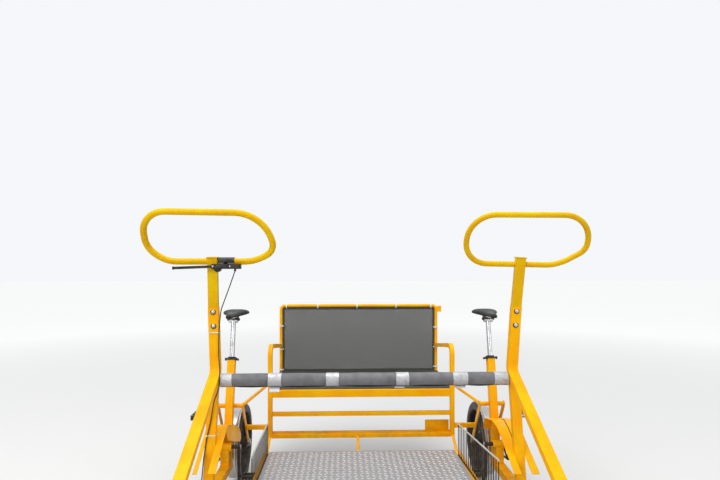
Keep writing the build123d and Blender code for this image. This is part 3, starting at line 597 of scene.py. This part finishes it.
def make_net(node, corner, up, width, height, sag):
    """A stretched net of flat strands, with a hem round it, that takes the place of a node."""
    corner, along, up = Vector(corner), Vector((1, 0, 0)), Vector(up)
    face = along.cross(up)

    def place(u, v):
        slack = sag * math.sin(math.pi * u / width) * math.sin(math.pi * v / height)
        return corner + along * u + up * v + face * slack

    net = Shape()
    for direction, pitch, strand, steps in NET_STRANDS:
        weft = direction == "weft"
        span = height if weft else width
        count = int(span / pitch)
        lift = face * (NET_STRAND_T * (0.5 if weft else -0.5))
        across = up if weft else along
        for row in range(count):
            at = (row + 0.5) * span / count
            loops = []
            for step in range(steps + 1):
                share = step / steps
                middle = place(width * share, at) if weft else place(at, height * share)
                loops.append(rectangle(middle + lift, across, face, strand, NET_STRAND_T))
            net.rings(loops)
    piece = net.finish(f"{node}_mesh", "net_cloth")

    hem = Shape()
    inset = NET_HEM_W / 2
    for start, end, side in (
        ((0, inset), (width, inset), up),
        ((0, height - inset), (width, height - inset), up),
        ((inset, NET_HEM_W), (inset, height - NET_HEM_W), along),
        ((width - inset, NET_HEM_W), (width - inset, height - NET_HEM_W), along),
    ):
        ends = [corner + along * u + up * v for u, v in (start, end)]
        hem.bar(*ends, NET_HEM_T, NET_HEM_W, hint=side)
    hem_piece = hem.finish(f"{node}_mesh_hem", "net_hem", slot="net_cloth")

    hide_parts(node)


def make_nets():
    """The nets of the backrest and the seat, and the ties that hold the first to its hoop."""
    side = HOOP_X - HOOP_R
    make_net(
        "back_net",
        (-side, HOOP_Y, BACK_NET_LOW),
        (0, 0, 1),
        2 * side,
        HOOP_TOP - HOOP_R - BACK_NET_LOW,
        -0.006,
    )
    make_net(
        "seat_net",
        (-SEAT_NET_SIDE, SEAT_NET_FRONT, SEAT_NET_Z),
        (0, 1, 0),
        2 * SEAT_NET_SIDE,
        SEAT_NET_REAR - SEAT_NET_FRONT,
        -0.012,
    )

    radius = HOOP_R + TIE_GAP
    band = [(a * TIE_W / 2, radius + out) for a, out in ((-1, 0), (1, 0), (1, TIE_T), (-1, TIE_T))]
    ties = Shape()
    for x in TIES_TOP_X:
        ties.lathe((x, HOOP_Y, HOOP_TOP - TIE_GAP), (1, 0, 0), band, 16, joined=True)
    for s, heights in TIES_SIDE_Z:
        for z in heights:
            ties.lathe((s * (HOOP_X - TIE_GAP), HOOP_Y, z), (0, 0, 1), band, 16, joined=True)
    ties.finish("net_ties", "white_tie", slot="silver_tape")


def between_tapes(x):
    """0 under a tape band and 1 half way between two bands."""
    edges = sorted(edge for band in TAPES for edge in band)
    for start, end in zip(edges[1::2], edges[2::2]):
        if start <= x <= end:
            return math.sin(math.pi * (x - start) / (end - start)) ** 0.6
    return 0.0


FOAM_RINGS = 236
FOAM_SIDES = 48
FOAM_BORE_R = 0.0163
FOAM_BULGE, FOAM_WOBBLE = 0.0012, 0.00022
LIP_H, LIP_TURN = 0.0035, 0.45
SEAM_SIDES = 4
SEAM_DEPTH = 0.012
SEAM_MIDDLE = math.radians(238)
SEAM_CLOSED, SEAM_OPEN = math.radians(1.0), math.radians(17)


def make_foam():
    """Foam tube over the bar, drawn in under the tape, its seam gaping between the bands and
    painted near black as shade.
    """
    chance = random.Random(4)
    waves = [
        (chance.uniform(8, 40), chance.uniform(0, math.tau), chance.uniform(-1, 1))
        for _ in range(7)
    ]
    foam = Shape()
    skin = FOAM_SIDES - SEAM_SIDES
    loops = []
    for i in range(FOAM_RINGS + 1):
        x = -FOAM_HALF + 2 * FOAM_HALF * i / FOAM_RINGS
        bulge = between_tapes(x)
        gape = SEAM_CLOSED + SEAM_OPEN * bulge
        places = []
        for k in range(skin):
            angle = SEAM_MIDDLE + gape + (math.tau - 2 * gape) * k / (skin - 1)
            wobble = sum(c * math.sin(f * x + p + 2 * angle) for f, p, c in waves) * FOAM_WOBBLE
            from_lip = min(k, skin - 1 - k) * (math.tau - 2 * gape) / (skin - 1)
            lip = LIP_H * bulge * math.exp(-(from_lip / LIP_TURN) ** 2)
            radius = FOAM_R - FOAM_BULGE / 2 + FOAM_BULGE * bulge + wobble + lip
            places.append((angle, radius))
        deep = FOAM_R - 0.0015 - SEAM_DEPTH * bulge
        for share in (-0.92, -0.5, 0.5, 0.92):
            places.append((SEAM_MIDDLE + gape * share, deep if abs(share) < 0.9 else deep + 0.004))
        loops.append([off_axis(x, BAR_Y, BAR_Z, radius, angle) for angle, radius in places])
    foam.rings(loops, caps=False)
    turns = [SEAM_MIDDLE + math.tau * k / FOAM_SIDES for k in range(FOAM_SIDES)]
    bore = [
        [off_axis(x, BAR_Y, BAR_Z, FOAM_BORE_R, turn) for turn in turns]
        for x in (-FOAM_HALF, FOAM_HALF)
    ]
    first = len(foam.faces)
    foam.rings([loops[0], *bore, loops[-1]], caps=False)
    # The groove, bore and ends take the near-black second look: painted shade.
    for row in range(FOAM_RINGS):
        for k in range(skin - 1, FOAM_SIDES):
            foam.second.add(row * FOAM_SIDES + k)
    foam.second.update(range(first, len(foam.faces)))
    piece = foam.finish("foam_tube", "grey_foam", "foam_seam_painted_shade", sharp=50)
    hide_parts("crossbar_foam")


TAPE_STEPS = 14
TAPE_INNER, TAPE_OUTER = FOAM_R + 0.0002, FOAM_R + 0.0011
TAPE_CURL, TAPE_SKEW, TAPE_CREASE = 0.0006, 0.0012, 0.0004
LOOSE_ENDS = ((-0.443, 0.030), (0.168, 0.012), (0.47, 0.014))
LOOSE_STEPS = 6
LOOSE_HALF_W, LOOSE_HALF_T = 0.024, 0.0003


def make_tape():
    """Tape bands round the foam with small creases and three loose ends."""
    chance = random.Random(9)
    tape = Shape()
    turns = [math.tau * k / FOAM_SIDES for k in range(FOAM_SIDES)]
    for start, end in TAPES:
        outer = []
        phase = chance.uniform(0, math.tau)
        for i in range(TAPE_STEPS + 1):
            share = i / TAPE_STEPS
            x = start + (end - start) * share
            edge = 2 * share - 1
            radius = TAPE_OUTER + TAPE_CURL * edge ** 8
            loop = []
            for k, turn in enumerate(turns):
                shift = TAPE_SKEW * math.sin(3 * math.tau * k / FOAM_SIDES + phase) * edge
                crease = TAPE_CREASE * math.sin(9 * share + 5 * k)
                loop.append(off_axis(x + shift, BAR_Y, BAR_Z, radius + crease, turn))
            outer.append(loop)
        inner = [
            [off_axis(x, BAR_Y, BAR_Z, TAPE_INNER, turn) for turn in turns]
            for x in (end, start)
        ]
        tape.rings(outer + inner, joined=True)
    for x, length in LOOSE_ENDS:
        base = off_axis(x, BAR_Y, BAR_Z, FOAM_R + 0.001, math.radians(-112))
        loops = []
        for i in range(LOOSE_STEPS + 1):
            share = i / LOOSE_STEPS
            down = -length * share * (0.5 + 0.2 * share)
            middle = base + Vector((0, -length * share * 0.75, down))
            loops.append([
                middle
                + Vector((
                    a * LOOSE_HALF_W, 0, b * LOOSE_HALF_T + 0.0008 * math.sin(5 * share + a)
                ))
                for a, b in SQUARE
            ])
        tape.rings(loops)
    piece = tape.finish("tape_bands", "silver_tape", sharp=50)
    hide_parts("crossbar_tape")


TREAD_PITCH = 0.030
TREAD_HALF_L, TREAD_HALF_W = 0.0125, 0.0042
TREAD_SIDES = 10
TREAD_LAYERS = ((1.0, -0.0002), (0.82, 0.0014), (0.45, 0.0020))
PLATE_MARGIN = 0.01
SCREW_ROWS = 5
SCREW_FROM_END, SCREW_FROM_SIDE = 0.05, 0.012


def tread_places(low, high):
    """The middles of the treads between two edges of the plate."""
    room = high - low - 2 * PLATE_MARGIN
    count = int(room / TREAD_PITCH)
    spare = (room - count * TREAD_PITCH) / 2
    return [low + PLATE_MARGIN + TREAD_PITCH * (i + 0.5) + spare for i in range(count)]


def make_tread():
    """Tear-shaped raised treads on the floor plate, each turned the other way from the next."""
    low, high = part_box("floor_plate")
    outline = []
    for k in range(TREAD_SIDES):
        turn = math.tau * k / TREAD_SIDES
        taper = 1 - 0.35 * math.cos(turn)
        outline.append((TREAD_HALF_L * math.cos(turn), TREAD_HALF_W * math.sin(turn) * taper))
    tread = Shape()
    for i, x in enumerate(tread_places(low[0], high[0])):
        for j, y in enumerate(tread_places(low[1], high[1])):
            angle = math.radians(45 if (i + j) % 2 else -45)
            c, s = math.cos(angle), math.sin(angle)
            tread.rings([
                [
                    Vector((
                        x + shrink * (c * a - s * b),
                        y + shrink * (s * a + c * b),
                        PLATE_TOP + up,
                    ))
                    for a, b in outline
                ]
                for shrink, up in TREAD_LAYERS
            ])
    tread.finish("plate_tread", "tread_metal", slot="chequer_plate", sharp=80)

    screws = Shape()
    for s in (-1, 1):
        for k in range(SCREW_ROWS):
            run = high[1] - low[1] - 2 * SCREW_FROM_END
            y = low[1] + SCREW_FROM_END + run * k / (SCREW_ROWS - 1)
            place = (s * (high[0] - SCREW_FROM_SIDE), y, PLATE_TOP)
            screws.dome(place, (0, 0, 1), 0.006, 0.0022, 12)
    screws.finish("plate_screws", "bright_steel")


SADDLE_STATIONS = (
    # along from the nose, half width, top, edge height
    (0.000, 0.006, 1.0010, 0.9960),
    (0.006, 0.013, 1.0080, 0.9900),
    (0.020, 0.0175, 1.0110, 0.9870),
    (0.060, 0.0200, 1.0130, 0.9865),
    (0.100, 0.0235, 1.0125, 0.9865),
    (0.135, 0.0310, 1.0125, 0.9870),
    (0.165, 0.0450, 1.0140, 0.9885),
    (0.190, 0.0610, 1.0170, 0.9910),
    (0.212, 0.0740, 1.0205, 0.9940),
    (0.232, 0.0790, 1.0230, 0.9960),
    (0.246, 0.0740, 1.0230, 0.9980),
    (0.254, 0.0600, 1.0190, 1.0010),
    (0.258, 0.0350, 1.0120, 1.0050),
)
SADDLE_CROWN_Z = 1.0238
SADDLE_SIDES = 28
SADDLE_ROLL = 0.004
SADDLE_HEAD = 0.780
GROOVE_DEPTH, GROOVE_W = 0.0022, 0.008
RAIL_OFFSET, RAIL_R = 0.022, 0.0036


def make_saddle(side, s):
    """Domed saddle with a long nose, a wide rear and a rolled edge, on its rails and clamp."""
    x = s * STATION_X
    low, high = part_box(f"saddle_{side}")
    nose = low[1]
    lift = high[2] - SADDLE_CROWN_Z
    cover = Shape()
    loops = []
    for along, half, top, edge in SADDLE_STATIONS:
        loop = []
        roll = edge + SADDLE_ROLL
        for k in range(SADDLE_SIDES):
            turn = math.tau * k / SADDLE_SIDES
            across = half * math.copysign(abs(math.cos(turn)) ** 0.8, math.cos(turn))
            if math.sin(turn) >= 0:
                rise = roll + (top - edge - SADDLE_ROLL) * math.sin(turn) ** 0.75
                groove = GROOVE_DEPTH * math.exp(-(across / GROOVE_W) ** 2)
                rise -= groove * (0.04 < along < 0.24)
            else:
                rise = roll + 0.007 * math.sin(turn)
            loop.append(Vector((x + across, nose + along, rise + lift)))
        loops.append(loop)
    cover.rings(loops)
    body = f"saddle_{side}"
    piece = cover.finish(f"saddle_cover_{side}", "saddle_cover", body=body, sharp=60)
    smooth = piece.modifiers.new("smooth", "SUBSURF")
    smooth.levels = smooth.render_levels = 2

    rails = Shape()
    head = on_seat_tube(x, SADDLE_HEAD)
    for offset in (-RAIL_OFFSET, RAIL_OFFSET):
        rail = [
            (x + offset * 0.5, nose + 0.020, 0.992 + lift),
            (x + offset * 0.7, nose + 0.035, 0.987 + lift),
            (x + offset, head.y - 0.045, head.z + 0.020),
            (x + offset, head.y + 0.045, head.z + 0.020),
            (x + offset * 1.5, head.y + 0.080, 0.992 + lift),
            (x + offset * 1.6, head.y + 0.088, 0.999 + lift),
        ]
        rails.tube(rail, RAIL_R, 10)
    rails.finish(f"saddle_rails_{side}", "chrome_post", body=body, sharp=60)
    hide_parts(f"saddle_{side}")

    clamp = Shape()
    for offset in (-RAIL_OFFSET, RAIL_OFFSET):
        clamp.lathe(
            (x + offset - 0.007, head.y, head.z + 0.012), (1, 0, 0),
            [(0, 0.017), (0.002, 0.019), (0.012, 0.019), (0.014, 0.017)], 24,
        )
    bolt = [
        (0, 0.0075), (0.006, 0.008), (0.008, 0.0045), (0.064, 0.0045), (0.066, 0.008),
        (0.072, 0.0075),
    ]
    clamp.lathe((x - 0.036, head.y, head.z + 0.004), (1, 0, 0), bolt, 6)
    clamp.finish(f"saddle_clamp_{side}", "black_metal", body=body)


SEAT_CLAMP = (
    (0, 0.0215), (0, 0.0245), (0.003, 0.0255), (0.014, 0.0245), (0.017, 0.0215),
    (0.017, 0.0152), (0.0165, 0.0150),
)
SEAT_CLAMP_UP, SEAT_BOLT_UP = 0.553, 0.561


def make_seat_clamp(side, s):
    """Clamp ring with its through bolt and lever at the top of the seat tube."""
    x = s * STATION_X
    ring = Shape()
    ring.lathe(on_seat_tube(x, SEAT_CLAMP_UP), SEAT_RISE, SEAT_CLAMP, 28, caps=False)
    bolt = on_seat_tube(x, SEAT_BOLT_UP) + Vector((0, -0.022, 0))
    reach = Vector((0.030, 0, 0))
    ring.tube([bolt - reach, bolt + reach], 0.0038, 12)
    for end in (-1, 1):
        ring.lathe(
            bolt + Vector((end * 0.024, 0, 0)), (end, 0, 0),
            [(0, 0.0075), (0.001, 0.0085), (0.008, 0.0085), (0.010, 0.006)], 16,
        )
    lever_from = bolt + Vector((-s * 0.032, -0.002, 0))
    lever_to = bolt + Vector((-s * 0.034, 0.045, -0.012))
    ring.bar(lever_from, lever_to, 0.005, 0.012)
    ring.finish(f"seat_clamp_{side}", "black_metal")


POST_TOP_X = {"left": 0.740, "right": 0.748}
POST_TOP_Z, POST_H = 1.080, 0.325
POST_BEND_X = 0.735
POST_FACE = (0, -1, 0.077)
POST_HALF_D = 0.0150
POST_BOLTS_Z = (1.057, 0.988)
TIE_BAND_T, TIE_BAND_W = 0.0013, 0.005


def post_centre(side, s, z):
    """The middle of the post at a height above its bend."""
    top_x = POST_TOP_X[side]
    share = (POST_TOP_Z - z) / POST_H
    return Vector((s * (top_x + (POST_BEND_X - top_x) * share), -0.005 + 0.025 * share, z))


def make_post_fittings(side, s):
    """Clamp bolts through the post, and on the left the ties that hold the cable."""
    bolts, washers = Shape(), Shape()
    washer = [(-0.0005, 0.0138), (0.0010, 0.0138), (0.0014, 0.0130)]
    for z in POST_BOLTS_Z:
        face = post_centre(side, s, z) + Vector((0, -POST_HALF_D, 0))
        bolts.dome(face, POST_FACE, 0.0100, 0.0068)
        bolts.hex_nut(face + Vector((0, 2 * POST_HALF_D, 0)), (0, 1, 0), 0.0085, 0.006)
        washers.lathe(face, POST_FACE, washer, 24)
    bolts.finish(f"post_bolts_{side}", "bright_steel")
    washers.finish(f"post_washers_{side}", "black_metal")

    if side == "left":
        ties = Shape()
        for centre, width, depth in (
            (post_centre(side, s, 0.957) + Vector((0, -0.002, 0)), 0.0535, 0.0375),
            ((-0.7432, -0.0405, 0.470), 0.0520, 0.0375),
        ):
            corners = rectangle(centre, (1, 0, 0), (0, 1, 0), width, depth)
            for a, b in zip(corners, corners[1:] + corners[:1]):
                ties.bar(a, b, TIE_BAND_T, TIE_BAND_W)
            head_from = corners[0] + Vector((0.006, -0.003, 0))
            head_to = corners[0] + Vector((0.013, -0.003, 0))
            ties.bar(head_from, head_to, 0.006, 0.006)
        ties.finish("cable_ties", "white_tie", slot="black_plastic")


PIN_NUTS_X = ((0.672, 0.792), (0.674, 0.818))
HUB_BOLTS, HUB_BOLTS_R = 5, 0.055
HUB_OUTER_X, HUB_INNER_X = 0.748, 0.736


def make_wheel_fittings(side, s):
    """Hexagon nuts on the fixed pins, a collar under each, and bolts round each hub."""
    nuts = Shape()
    collar = [(0, 0.0225), (0.0008, 0.023), (0.0018, 0.0225)]
    for (end, y), (inner, outer) in zip(AXLES, PIN_NUTS_X):
        ends = ((inner, -s), (outer, s))
        for x, way in ends:
            nuts.hex_nut((s * x, y, AXLE_Z), (way, 0, 0), 0.0185, 0.0086)
        for x, way in ends:
            nuts.lathe((s * x, y, AXLE_Z), (way, 0, 0), collar, 28)
        hub = Shape()
        for k in range(HUB_BOLTS):
            turn = math.tau * (k + 0.5) / HUB_BOLTS
            for x, way in ((HUB_OUTER_X, s), (HUB_INNER_X, -s)):
                hub.hex_nut(
                    off_axis(s * x, y, AXLE_Z, HUB_BOLTS_R, turn), (way, 0, 0), 0.0075, 0.006
                )
        hub.finish(f"hub_bolts_{end}_{side}", "bright_steel", body=f"wheel_{end}_{side}")
    nuts.finish(f"axle_nuts_{side}", "bright_steel")


CRANK_CAP_X = 0.082
CHAINRING_X = 0.046
RING_BOLTS, RING_BOLTS_R = 5, 0.048
PEDALS = (("inner", -1, 0.135), ("outer", 1, 0.475))
PEDAL_MIDDLE = 0.129
PEDAL_PINS, PEDAL_PIN_PITCH = 5, 0.017
PEDAL_PIN_Y, PEDAL_PIN_UP = 0.0435, 0.012
END_PLATE_Y, END_PLATE_HALF = 0.0482, 0.022


def make_crank_fittings(side, s):
    """Crank caps, chainring bolts, and the pins and end plates of the pedals."""
    x = s * STATION_X
    caps = Shape()
    cap = [(-0.001, 0.0115), (0.002, 0.0115), (0.003, 0.009), (0.0032, 0.006)]
    for way in (-1, 1):
        caps.lathe((x + way * CRANK_CAP_X, CRANK_Y, CRANK_Z), (way, 0, 0), cap, 20)
    ring_x = x + s * CHAINRING_X
    ring_bolt = [(0, 0.0045), (0.0005, 0.005), (0.0039, 0.005), (0.0044, 0.0045)]
    for k in range(RING_BOLTS):
        turn = math.tau * (k + 0.5) / RING_BOLTS
        place = off_axis(ring_x - 0.0022, CRANK_Y, CRANK_Z, RING_BOLTS_R, turn)
        caps.lathe(place, (1, 0, 0), ring_bolt, 12)
    caps.finish(f"crank_caps_{side}", "bright_steel", body=f"crank_{side}")

    pin = [(-0.0005, 0.0024), (0.0022, 0.002), (0.0030, 0.0008)]
    for place, out, z in PEDALS:
        pins = Shape()
        middle = x + s * out * PEDAL_MIDDLE
        for edge in (-1, 1):
            for k in range(PEDAL_PINS):
                pin_x = middle + (k - PEDAL_PINS // 2) * PEDAL_PIN_PITCH
                for up in (-1, 1):
                    foot = (pin_x, CRANK_Y + edge * PEDAL_PIN_Y, z + up * PEDAL_PIN_UP)
                    pins.lathe(foot, (0, 0, up), pin, 8)
        for edge in (-1, 1):
            y = CRANK_Y + edge * END_PLATE_Y
            pins.bar(
                (middle - END_PLATE_HALF, y, z), (middle + END_PLATE_HALF, y, z), 0.0012, 0.013
            )
        body = f"pedal_{side}_{place}"
        pins.finish(f"pedal_pins_{side}_{place}", "bright_steel", body=body)


FRAME_TOP_Z = 0.2055


def make_welds(side, s):
    """Weld beads where the tubes of one side meet."""
    x = s * STATION_X
    across, back, up = (1, 0, 0), (0, 1, 0), (0, 0, 1)
    leg = Vector((0, -0.671, -0.400)).normalized()
    leg_side = Vector((0, -0.400, 0.671)).normalized()
    leg_end = Vector((s * 0.750, -0.651, 0.355)) - leg * 0.0006
    beads = [
        # centre, two directions, width, height and seed
        ((s * 0.746, -0.085, FRAME_TOP_Z), across, back, 0.049, 0.0315, 11),
        ((x, on_seat_tube(x, 0.0).y, FRAME_TOP_Z), across, back, 0.043, 0.0435, 12),
        ((x, CRANK_Y, FRAME_TOP_Z), across, back, 0.045, 0.035, 13),
        (leg_end, across, leg_side, 0.051, 0.031, 14),
    ]
    for y in (-0.560, -0.085):
        beads.append(((s * 0.7195, y, 0.171), back, up, 0.041, 0.041, 15))
        beads.append(((s * 0.5555, y, 0.181), back, up, 0.041, 0.021, 16))
    welds = Shape()
    for *place, seed in beads:
        welds.weld(rectangle(*place), seed)
    for z, depth in ((0.533, 0.041), (0.413, 0.020)):
        welds.weld(rectangle((s * 0.5228, 0.500, z), back, up, 0.024, depth), 17, 0.0016)
    for arm_x in (0.5487, 0.6733):
        welds.weld(rectangle((s * arm_x, 0.502, 0.338), back, up, 0.021, 0.026), 18)
    welds.finish(f"weld_beads_{side}", "weld_bead", slot="yellow_paint", sharp=80)


LEVER_BOLTS = ((-0.698, 0.0048), (-0.650, 0.0048), (-0.731, 0.0055))


def make_lever_fittings():
    """Bolts, pivot, hose nut and end cap of the brake lever."""
    forwards = (0, -1, 0)
    bits = Shape()
    for x, radius in LEVER_BOLTS:
        bits.dome((x, -0.060, 1.2775), forwards, radius, 0.004, 12)
    bits.finish("lever_bolts", "bright_steel")
    dark = Shape()
    dark.dome((-0.708, -0.066, 1.268), forwards, 0.0155, 0.004, 28)
    dark.hex_nut((-0.6252, -0.050, 1.2660), (-0.02, 0, -0.076), 0.0055, 0.012)
    dark.tube([(-0.9125, -0.0720, 1.270), (-0.9165, -0.0723, 1.2698)], 0.0082, 16)
    dark.finish("lever_cap", "black_metal")


# Chain covers: (y, z) places along the sheet, from its front edge, and the bends between them.
COVERS = {
    "left": (((-0.199, 0.3422), (0.060, 0.487), (0.235, 0.427), (0.352, 0.380)), (0.090, 0.300)),
    "right": (
        ((-0.174, 0.3132), (0.100, 0.447), (0.200, 0.455), (0.345, 0.425), (0.368, 0.360)),
        (0.120, 0.120, 0.060),
    ),
}
COVER_INNER = 0.6855
COVER_OUTER = {"left": 0.7880, "right": 0.8045}
COVER_T = 0.003
COVER_SLOT = (0.7190, 0.7680)
COVER_SLOT_END_Y = -0.048
COVER_SIDE = (
    (0.020, 0.464), (0.060, 0.482), (0.235, 0.427), (0.314, 0.394), (0.352, 0.378),
    (0.380, 0.346), (0.398, 0.309), (0.369, 0.299), (0.209, 0.353), (0.070, 0.405),
)
COVER_SIDE_X = (0.685, 0.687)

# The dark line on the right cover: (y, x) places, from the strut back.
COVER_DARK_LINE = (
    (0.008, 0.742), (0.030, 0.742), (0.080, 0.741), (0.140, 0.745), (0.200, 0.752), (0.240, 0.752)
)
COVER_DARK_LINE_R = 0.0021
BEND_STEPS = 8


def rounded_line(points, bends, extra):
    """(place, square) rows along a line of (y, z) points with rounded bends and extra cuts."""
    points = [Vector((0, y, z)) for y, z in points]
    line = [points[0]]
    for before, corner, after, radius in zip(points, points[1:], points[2:], bends):
        into = (corner - before).normalized()
        out = (after - corner).normalized()
        reach = radius * math.tan(into.angle(out) / 2)
        first, last = corner - into * reach, corner + out * reach
        for step in range(BEND_STEPS + 1):
            share = step / BEND_STEPS
            line.append(
                first * (1 - share) ** 2 + corner * 2 * share * (1 - share) + last * share ** 2
            )
    line.append(points[-1])
    for cut in extra:
        for i, (a, b) in enumerate(zip(line, line[1:])):
            if a.y < cut < b.y:
                line.insert(i + 1, a.lerp(b, (cut - a.y) / (b.y - a.y)))
                break
    rows = []
    for i, place in enumerate(line):
        run = (line[min(i + 1, len(line) - 1)] - line[max(i - 1, 0)]).normalized()
        rows.append((place, Vector((0, -run.z, run.y))))
    return rows


def bent_plate(shape, rows, columns, gone):
    """A bent sheet with the cells left out for which gone(row, column) is true."""
    first = len(shape.verts)
    for place, square in rows:
        for x in columns:
            for layer in (0.5, -0.5):
                shape.verts.append(tuple(place + Vector((x, 0, 0)) + square * (layer * COVER_T)))

    def vert(row, column, layer):
        return first + (row * len(columns) + column) * 2 + layer

    def there(row, column):
        inside = 0 <= row < len(rows) - 1 and 0 <= column < len(columns) - 1
        return inside and not gone(row, column)

    for i in range(len(rows) - 1):
        for j in range(len(columns) - 1):
            if not there(i, j):
                continue
            ring = ((i, j), (i, j + 1), (i + 1, j + 1), (i + 1, j))
            for layer in (0, 1):
                shape.faces.append(tuple(vert(*corner, layer) for corner in ring))
            for k, (row, column) in enumerate(((i - 1, j), (i, j + 1), (i + 1, j), (i, j - 1))):
                if not there(row, column):
                    a, b = ring[k], ring[(k + 1) % 4]
                    shape.faces.append((vert(*a, 0), vert(*b, 0), vert(*b, 1), vert(*a, 1)))


def make_cover(side, s):
    """Chain cover: a bent sheet slotted for the strut, on the left with its side wall."""
    line, bends = COVERS[side]
    rows = rounded_line(line, bends, [COVER_SLOT_END_Y])
    columns = [s * x for x in (COVER_INNER, *COVER_SLOT, COVER_OUTER[side])]

    def in_slot(row, column):
        return column == 1 and rows[row][0].y < COVER_SLOT_END_Y - TINY

    cover = Shape()
    bent_plate(cover, rows, columns, in_slot)
    if side == "left":
        cover.rings([[Vector((s * x, y, z)) for y, z in COVER_SIDE] for x in COVER_SIDE_X])
    piece = cover.finish(f"cover_sheet_{side}", "yellow_paint")
    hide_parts(f"chain_cover_{side}")


def make_cover_dark_line():
    """A thin black tube laid on the right cover along a dark line."""
    line, bends = COVERS["right"]
    points = []
    for place, square in rounded_line(line, bends, [y for y, _ in COVER_DARK_LINE]):
        for (y0, x0), (y1, x1) in zip(COVER_DARK_LINE, COVER_DARK_LINE[1:]):
            if y0 - TINY <= place.y <= y1 + TINY:
                x = x0 + (x1 - x0) * (place.y - y0) / (y1 - y0)
                points.append(place + square * (COVER_T / 2 + 0.0004) + Vector((x, 0, 0)))
                break
    seam = Shape()
    seam.tube(points, COVER_DARK_LINE_R, 8, hint=(1, 0, 0))
    seam.finish("cover_dark_line_right", "black_plastic")


STAGE_GLOW = (0.08, 0.60)
STAGE_NEAR, STAGE_FAR = 0.5, 9.0
STAGE_HALF = 45.0
STAGE_CUTS = 24
WORLD_LIGHT, WORLD_SEEN = 0.5, 0.95
WORLD_TINT = (0.96, 0.98, 1.0, 1)
LAMPS_AIM = (0, 0, 0.6)
LAMPS = (
    # name, place, size, power and colour
    ("sky", (-0.4, -0.4, 5.4), 4.2, 205, (1, 1, 1)),
    ("key", (-3.2, -4.2, 3.6), 2.2, 105, (1, 0.98, 0.94)),
    ("fill", (3.8, -3.4, 2.4), 3.0, 40, (1, 1, 1)),
)


def seen_directly(tree):
    """1 for rays from the camera and for those that metal and glass send on."""
    path = tree.nodes.new("ShaderNodeLightPath").outputs
    value = path["Is Camera Ray"]
    for other in ("Is Glossy Ray", "Is Transmission Ray"):
        node = tree.nodes.new("ShaderNodeMath")
        node.operation = "MAXIMUM"
        tree.links.new(value, node.inputs[0])
        tree.links.new(path[other], node.inputs[1])
        value = node.outputs[0]
    return value


def make_stage():
    """A wide pale floor that glows more where the lamps reach it less, so that it looks even."""
    m = Nodes("pale_floor")
    far = m.add("VectorMath", {0: m.coords()}, operation="LENGTH").outputs["Value"]
    glow = m.ramp(far, STAGE_NEAR, STAGE_FAR, *STAGE_GLOW)
    m.shade(
        Base_Color=FLOOR_PALE,
        Roughness=0.95,
        Specular_IOR_Level=0.1,
        Emission_Color=(1, 1, 1, 1),
        Emission_Strength=m.times(seen_directly(m.tree), glow),
    )
    mesh = bpy.data.meshes.new("floor")
    count = STAGE_CUTS + 1
    places = [STAGE_HALF * (2 * i / STAGE_CUTS - 1) for i in range(count)]
    verts = [(x, y, 0.0) for y in places for x in places]
    faces = []
    for row in range(STAGE_CUTS):
        for i in range(row * count, row * count + STAGE_CUTS):
            faces.append((i, i + 1, i + count + 1, i + count))
    mesh.from_pydata(verts, [], faces)
    mesh.materials.append(m.material)
    for face in mesh.polygons:
        face.use_smooth = True
    add_object("floor", mesh)


def area_light(name, place, size, power, colour):
    """A square lamp that shines on the car."""
    data = bpy.data.lights.new(name, "AREA")
    data.shape = "SQUARE"
    data.size = size
    data.energy = power
    data.color = colour
    lamp = add_object(name, data)
    lamp.location = place
    ray = Vector(LAMPS_AIM) - Vector(place)
    lamp.rotation_euler = ray.to_track_quat("-Z", "Y").to_euler()


def make_lights():
    """The lamps, and a world that looks brighter than it shines."""
    world = bpy.data.worlds.new("world")
    world.use_nodes = True
    tree = world.node_tree
    background = tree.nodes["Background"]
    background.inputs["Color"].default_value = WORLD_TINT
    strength = tree.nodes.new("ShaderNodeMapRange")
    strength.inputs["To Min"].default_value = WORLD_LIGHT
    strength.inputs["To Max"].default_value = WORLD_SEEN
    tree.links.new(seen_directly(tree), strength.inputs["Value"])
    tree.links.new(strength.outputs["Result"], background.inputs["Strength"])
    bpy.context.scene.world = world
    for lamp in LAMPS:
        area_light(*lamp)


def main():
    """Builds the scene round the frame's parts."""
    bpy.context.scene.view_settings.view_transform = "Standard"
    make_camera()
    make_stage()
    make_lights()
    build_materials()
    dress_nodes()
    make_nets()
    make_foam()
    make_tape()
    make_tread()
    make_lever_fittings()
    make_cover_dark_line()
    for side, s in SIDES:
        make_cover(side, s)
        make_saddle(side, s)
        make_seat_clamp(side, s)
        make_post_fittings(side, s)
        make_wheel_fittings(side, s)
        make_crank_fittings(side, s)
        make_welds(side, s)


main()
